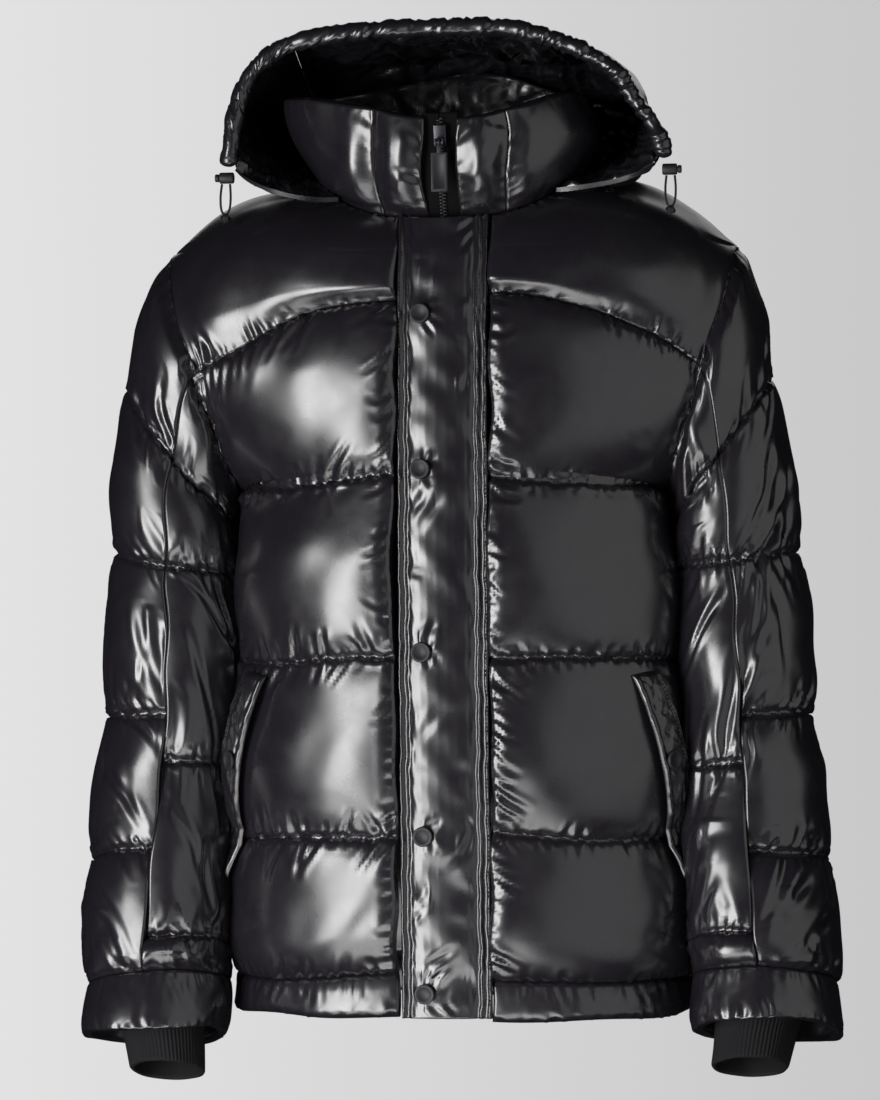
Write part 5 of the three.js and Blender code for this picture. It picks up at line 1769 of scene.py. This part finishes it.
def add_panel_light(name, place, size, strength):
    """A soft rectangular light that faces the jacket: place is its azimuth, elevation and distance"""
    azimuth, elevation, distance = place
    out = view_direction(math.radians(azimuth), math.radians(elevation))
    data = bpy.data.lights.new(name, "AREA")
    data.shape = "RECTANGLE"
    data.size, data.size_y = size
    data.energy = strength
    light = bpy.data.objects.new(name, data)
    bpy.context.scene.collection.objects.link(light)
    light.matrix_world = (Matrix.Translation(CAMERA_TARGET + out * distance)
                          @ out.to_track_quat("Z", "Y").to_matrix().to_4x4())
    light.visible_camera = False


def add_world(colour):
    """A pale studio background, made a little darker towards the right by painted shade, that lights the jacket only
    dimly
    """
    world = bpy.data.worlds.new("studio")
    bpy.context.scene.world = world
    world.use_nodes = True
    tree = world.node_tree
    tree.nodes.clear()
    path = add_node(tree, "ShaderNodeLightPath")
    towards = add_node(tree, "ShaderNodeTexCoord").outputs["Generated"]
    across = add_node(tree, "ShaderNodeSeparateXYZ", None, {"Vector": towards})
    # Painted shade: the background seen by the camera is brighter on the left and darker towards the right, as the
    # studio light falls off across it
    shade = add_node(tree, "ShaderNodeMapRange",
                     {"From Min": -0.26, "From Max": 0.03, "To Min": 1.12, "To Max": 0.8},
                     {"Value": across.outputs["X"]})
    seen = add_node(tree, "ShaderNodeBackground", {"Color": colour}, {"Strength": shade.outputs["Result"]})
    dim = add_node(tree, "ShaderNodeBackground", {"Color": linear("#404044"), "Strength": 0.12})
    mixed = add_node(tree, "ShaderNodeMixShader", None, {
        0: path.outputs["Is Camera Ray"], 1: dim.outputs["Background"], 2: seen.outputs["Background"],
    })
    add_node(tree, "ShaderNodeOutputWorld", None, {"Surface": mixed.outputs["Shader"]})


def add_floor(height):
    bpy.ops.object.select_all(action="DESELECT")
    bpy.ops.mesh.primitive_circle_add(vertices=96, radius=1.0, fill_type="NGON", location=(0, 0, height))
    floor = bpy.context.object
    floor.name = "floor"
    floor.data.transform(floor.matrix_world)
    floor.matrix_world = Matrix.Identity(4)
    floor.data.materials.append(plain_finish("matt painted board", linear("#dedede"), 0.9, 0.004, 0.2))
    floor.visible_glossy = False


# Settings, operators and the sidebar's panel


def colour_setting(name, description, hex_colour):
    return bpy.props.FloatVectorProperty(name=name, description=description, subtype="COLOR", size=4,
                                         min=0, max=1, default=linear(hex_colour))


class JacketColours(bpy.types.PropertyGroup):
    """Colours of the jacket's materials"""
    shell: colour_setting("Shell", "Coated nylon of the padded panels", "#161418")
    lining: colour_setting("Lining", "Lining of the collar", "#232126")
    trim: colour_setting("Trim", "Press studs, zip teeth, pull tab and cord locks", "#17161a")
    metal: colour_setting("Metal", "Zip slider", "#3a3a3e")
    knit: colour_setting("Knit", "Rib cuffs", "#101012")
    tape: colour_setting("Tape", "Zip tapes", "#060607")
    cord: colour_setting("Cord", "Hood drawcord", "#121214")
    thread: colour_setting("Thread", "Sewing thread", "#0b0b0c")


class JacketSizes(bpy.types.PropertyGroup):
    """Sizes of the padding and the trims"""
    pressure: bpy.props.FloatProperty(
        name="Pressure", description="Air pressure that swells the padded panels", default=4.0, min=0.5, max=10)
    frames: bpy.props.IntProperty(
        name="Frames", description="Steps of the cloth simulation", default=18, min=1, max=40)
    fullness: bpy.props.FloatProperty(
        name="Fullness", description="Share of its full height that a body panel starts from", default=0.7,
        min=0, max=1, subtype="FACTOR")
    stud_radius: bpy.props.FloatProperty(
        name="Stud radius", description="Radius of a press stud's cap", default=STUD_RADIUS * MM, unit="LENGTH")
    cord_diameter: bpy.props.FloatProperty(
        name="Cord diameter", description="Thickness of the hood drawcord", default=CORD_DIAMETER * MM,
        unit="LENGTH")
    tooth_pitch: bpy.props.FloatProperty(
        name="Tooth pitch", description="Distance from one zip tooth to the next", default=TOOTH_PITCH * MM,
        unit="LENGTH")


class JacketStage(bpy.types.PropertyGroup):
    """The studio round the jacket"""
    background: colour_setting("Background", "Colour behind the jacket", "#dadada")
    floor_height: bpy.props.FloatProperty(
        name="Floor height", description="Height of the floor below the neck", default=-0.96, unit="LENGTH")
    key: bpy.props.FloatProperty(
        name="Key light", description="Power of the tall softbox on the left", default=68, min=0, unit="POWER")
    wall: bpy.props.FloatProperty(
        name="Side light", description="Power of the wide panel on the right", default=21, min=0, unit="POWER")
    back: bpy.props.FloatProperty(
        name="Back light", description="Power of the panel behind the jacket", default=6, min=0, unit="POWER")
    low: bpy.props.FloatProperty(
        name="Low light", description="Power of the small panel in front of the floor", default=5, min=0,
        unit="POWER")


class JACKET_OT_stage(bpy.types.Operator):
    """Adds the camera, the soft studio lights, the pale background and the floor"""
    bl_idname = "jacket.stage"
    bl_label = "Stage"

    def execute(self, context):
        stage = context.scene.jacket_stage
        context.scene.view_settings.view_transform = "Standard"
        add_camera()
        add_world(stage.background)
        add_floor(stage.floor_height)
        add_panel_light("key softbox", (-33, -6, 2.2), (0.9, 1.4), stage.key)
        add_panel_light("grey wall", (58, 5, 2.2), (2.8, 2.8), stage.wall)
        add_panel_light("back wall", (180, 30, 2.6), (2.4, 1.2), stage.back)
        add_panel_light("low panel", (-5, -42, 0.95), (0.7, 0.35), stage.low)
        return {"FINISHED"}


class JACKET_OT_cords(bpy.types.Operator):
    """Adds the hood's drawcord ends and their knots"""
    bl_idname = "jacket.cords"
    bl_label = "Drawcords"

    def execute(self, context):
        build_cords(finish("cord"), context.scene.jacket_sizes.cord_diameter)
        return {"FINISHED"}


class JACKET_OT_panels(bpy.types.Operator):
    """Swells and creases every padded panel of the body, sleeves, cuffs, collar and hood"""
    bl_idname = "jacket.panels"
    bl_label = "Padded panels"

    def execute(self, context):
        sizes = context.scene.jacket_sizes
        note_body(sizes.fullness)
        note_sleeves()
        both_sides("cuff_band", add_cuff_band)
        note_collar()
        note_hood()
        build_shells(finish("shell"), sizes.frames, sizes.pressure)
        return {"FINISHED"}


class JACKET_OT_placket(bpy.types.Operator):
    """Adds the storm flap over the zip"""
    bl_idname = "jacket.placket"
    bl_label = "Placket"

    def execute(self, context):
        build_placket(finish("shell"))
        return {"FINISHED"}


class JACKET_OT_welts(bpy.types.Operator):
    """Adds the welts of the slanted pockets"""
    bl_idname = "jacket.welts"
    bl_label = "Pocket welts"

    def execute(self, context):
        build_welts(finish("shell"))
        return {"FINISHED"}


class JACKET_OT_casing(bpy.types.Operator):
    """Adds the gathered roll round the hood's opening"""
    bl_idname = "jacket.casing"
    bl_label = "Hood casing"

    def execute(self, context):
        build_casing(finish("shell"))
        return {"FINISHED"}


class JACKET_OT_zip(bpy.types.Operator):
    """Adds the zip's tapes and teeth"""
    bl_idname = "jacket.zip"
    bl_label = "Zip"

    def execute(self, context):
        build_zip(finish("tape"), finish("plastic"), context.scene.jacket_sizes.tooth_pitch / MM)
        return {"FINISHED"}


class JACKET_OT_slider(bpy.types.Operator):
    """Adds the zip slider and its hinged pull tab"""
    bl_idname = "jacket.slider"
    bl_label = "Slider and pull tab"

    def execute(self, context):
        build_slider(finish("metal"), finish("plastic"))
        return {"FINISHED"}


class JACKET_OT_studs(bpy.types.Operator):
    """Adds the press studs of the placket and the pockets"""
    bl_idname = "jacket.studs"
    bl_label = "Press studs"

    def execute(self, context):
        build_studs(finish("plastic"), context.scene.jacket_sizes.stud_radius / MM)
        return {"FINISHED"}


class JACKET_OT_rib_cuffs(bpy.types.Operator):
    """Adds the knitted cuffs inside the cuff bands"""
    bl_idname = "jacket.rib_cuffs"
    bl_label = "Rib cuffs"

    def execute(self, context):
        build_rib_cuffs(finish("knit"))
        return {"FINISHED"}


class JACKET_OT_locks(bpy.types.Operator):
    """Adds the barrel locks of the drawcords"""
    bl_idname = "jacket.locks"
    bl_label = "Cord locks"

    def execute(self, context):
        build_locks(finish("plastic"))
        return {"FINISHED"}


class JACKET_OT_thread(bpy.types.Operator):
    """Adds the stitches of every seam that shows. It comes after the pieces that are sewn."""
    bl_idname = "jacket.thread"
    bl_label = "Stitches"

    def execute(self, context):
        if not THREAD:
            raise RuntimeError("no sewn piece has been made yet")
        build_thread(finish("thread"))
        return {"FINISHED"}


OPERATORS = [
    JACKET_OT_stage, JACKET_OT_cords, JACKET_OT_panels, JACKET_OT_placket, JACKET_OT_welts, JACKET_OT_casing,
    JACKET_OT_zip, JACKET_OT_slider, JACKET_OT_studs, JACKET_OT_rib_cuffs, JACKET_OT_locks, JACKET_OT_thread,
]
SETTINGS = {"jacket_colours": JacketColours, "jacket_sizes": JacketSizes, "jacket_stage": JacketStage}


class JACKET_PT_builder(bpy.types.Panel):
    """Lists the jacket's settings and its builders in order"""
    bl_label = "Puffer Jacket"
    bl_space_type = "VIEW_3D"
    bl_region_type = "UI"
    bl_category = "Jacket"

    def draw(self, context):
        for name in SETTINGS:
            box = self.layout.box()
            group = getattr(context.scene, name)
            for setting in group.__annotations__:
                box.prop(group, setting)
        for operator in OPERATORS:
            self.layout.operator(operator.bl_idname)


def register():
    for item in [*SETTINGS.values(), *OPERATORS, JACKET_PT_builder]:
        bpy.utils.register_class(item)
    for name, group in SETTINGS.items():
        setattr(bpy.types.Scene, name, bpy.props.PointerProperty(type=group))


def unregister():
    for name in SETTINGS:
        delattr(bpy.types.Scene, name)
    for item in reversed([*SETTINGS.values(), *OPERATORS, JACKET_PT_builder]):
        bpy.utils.unregister_class(item)


def main():
    register()
    bpy.ops.jacket.stage()
    bpy.ops.jacket.cords()
    bpy.ops.jacket.panels()
    bpy.ops.jacket.placket()
    bpy.ops.jacket.welts()
    bpy.ops.jacket.casing()
    bpy.ops.jacket.zip()
    bpy.ops.jacket.slider()
    bpy.ops.jacket.studs()
    bpy.ops.jacket.rib_cuffs()
    bpy.ops.jacket.locks()
    bpy.ops.jacket.thread()


if __name__ == "__main__":
    main()
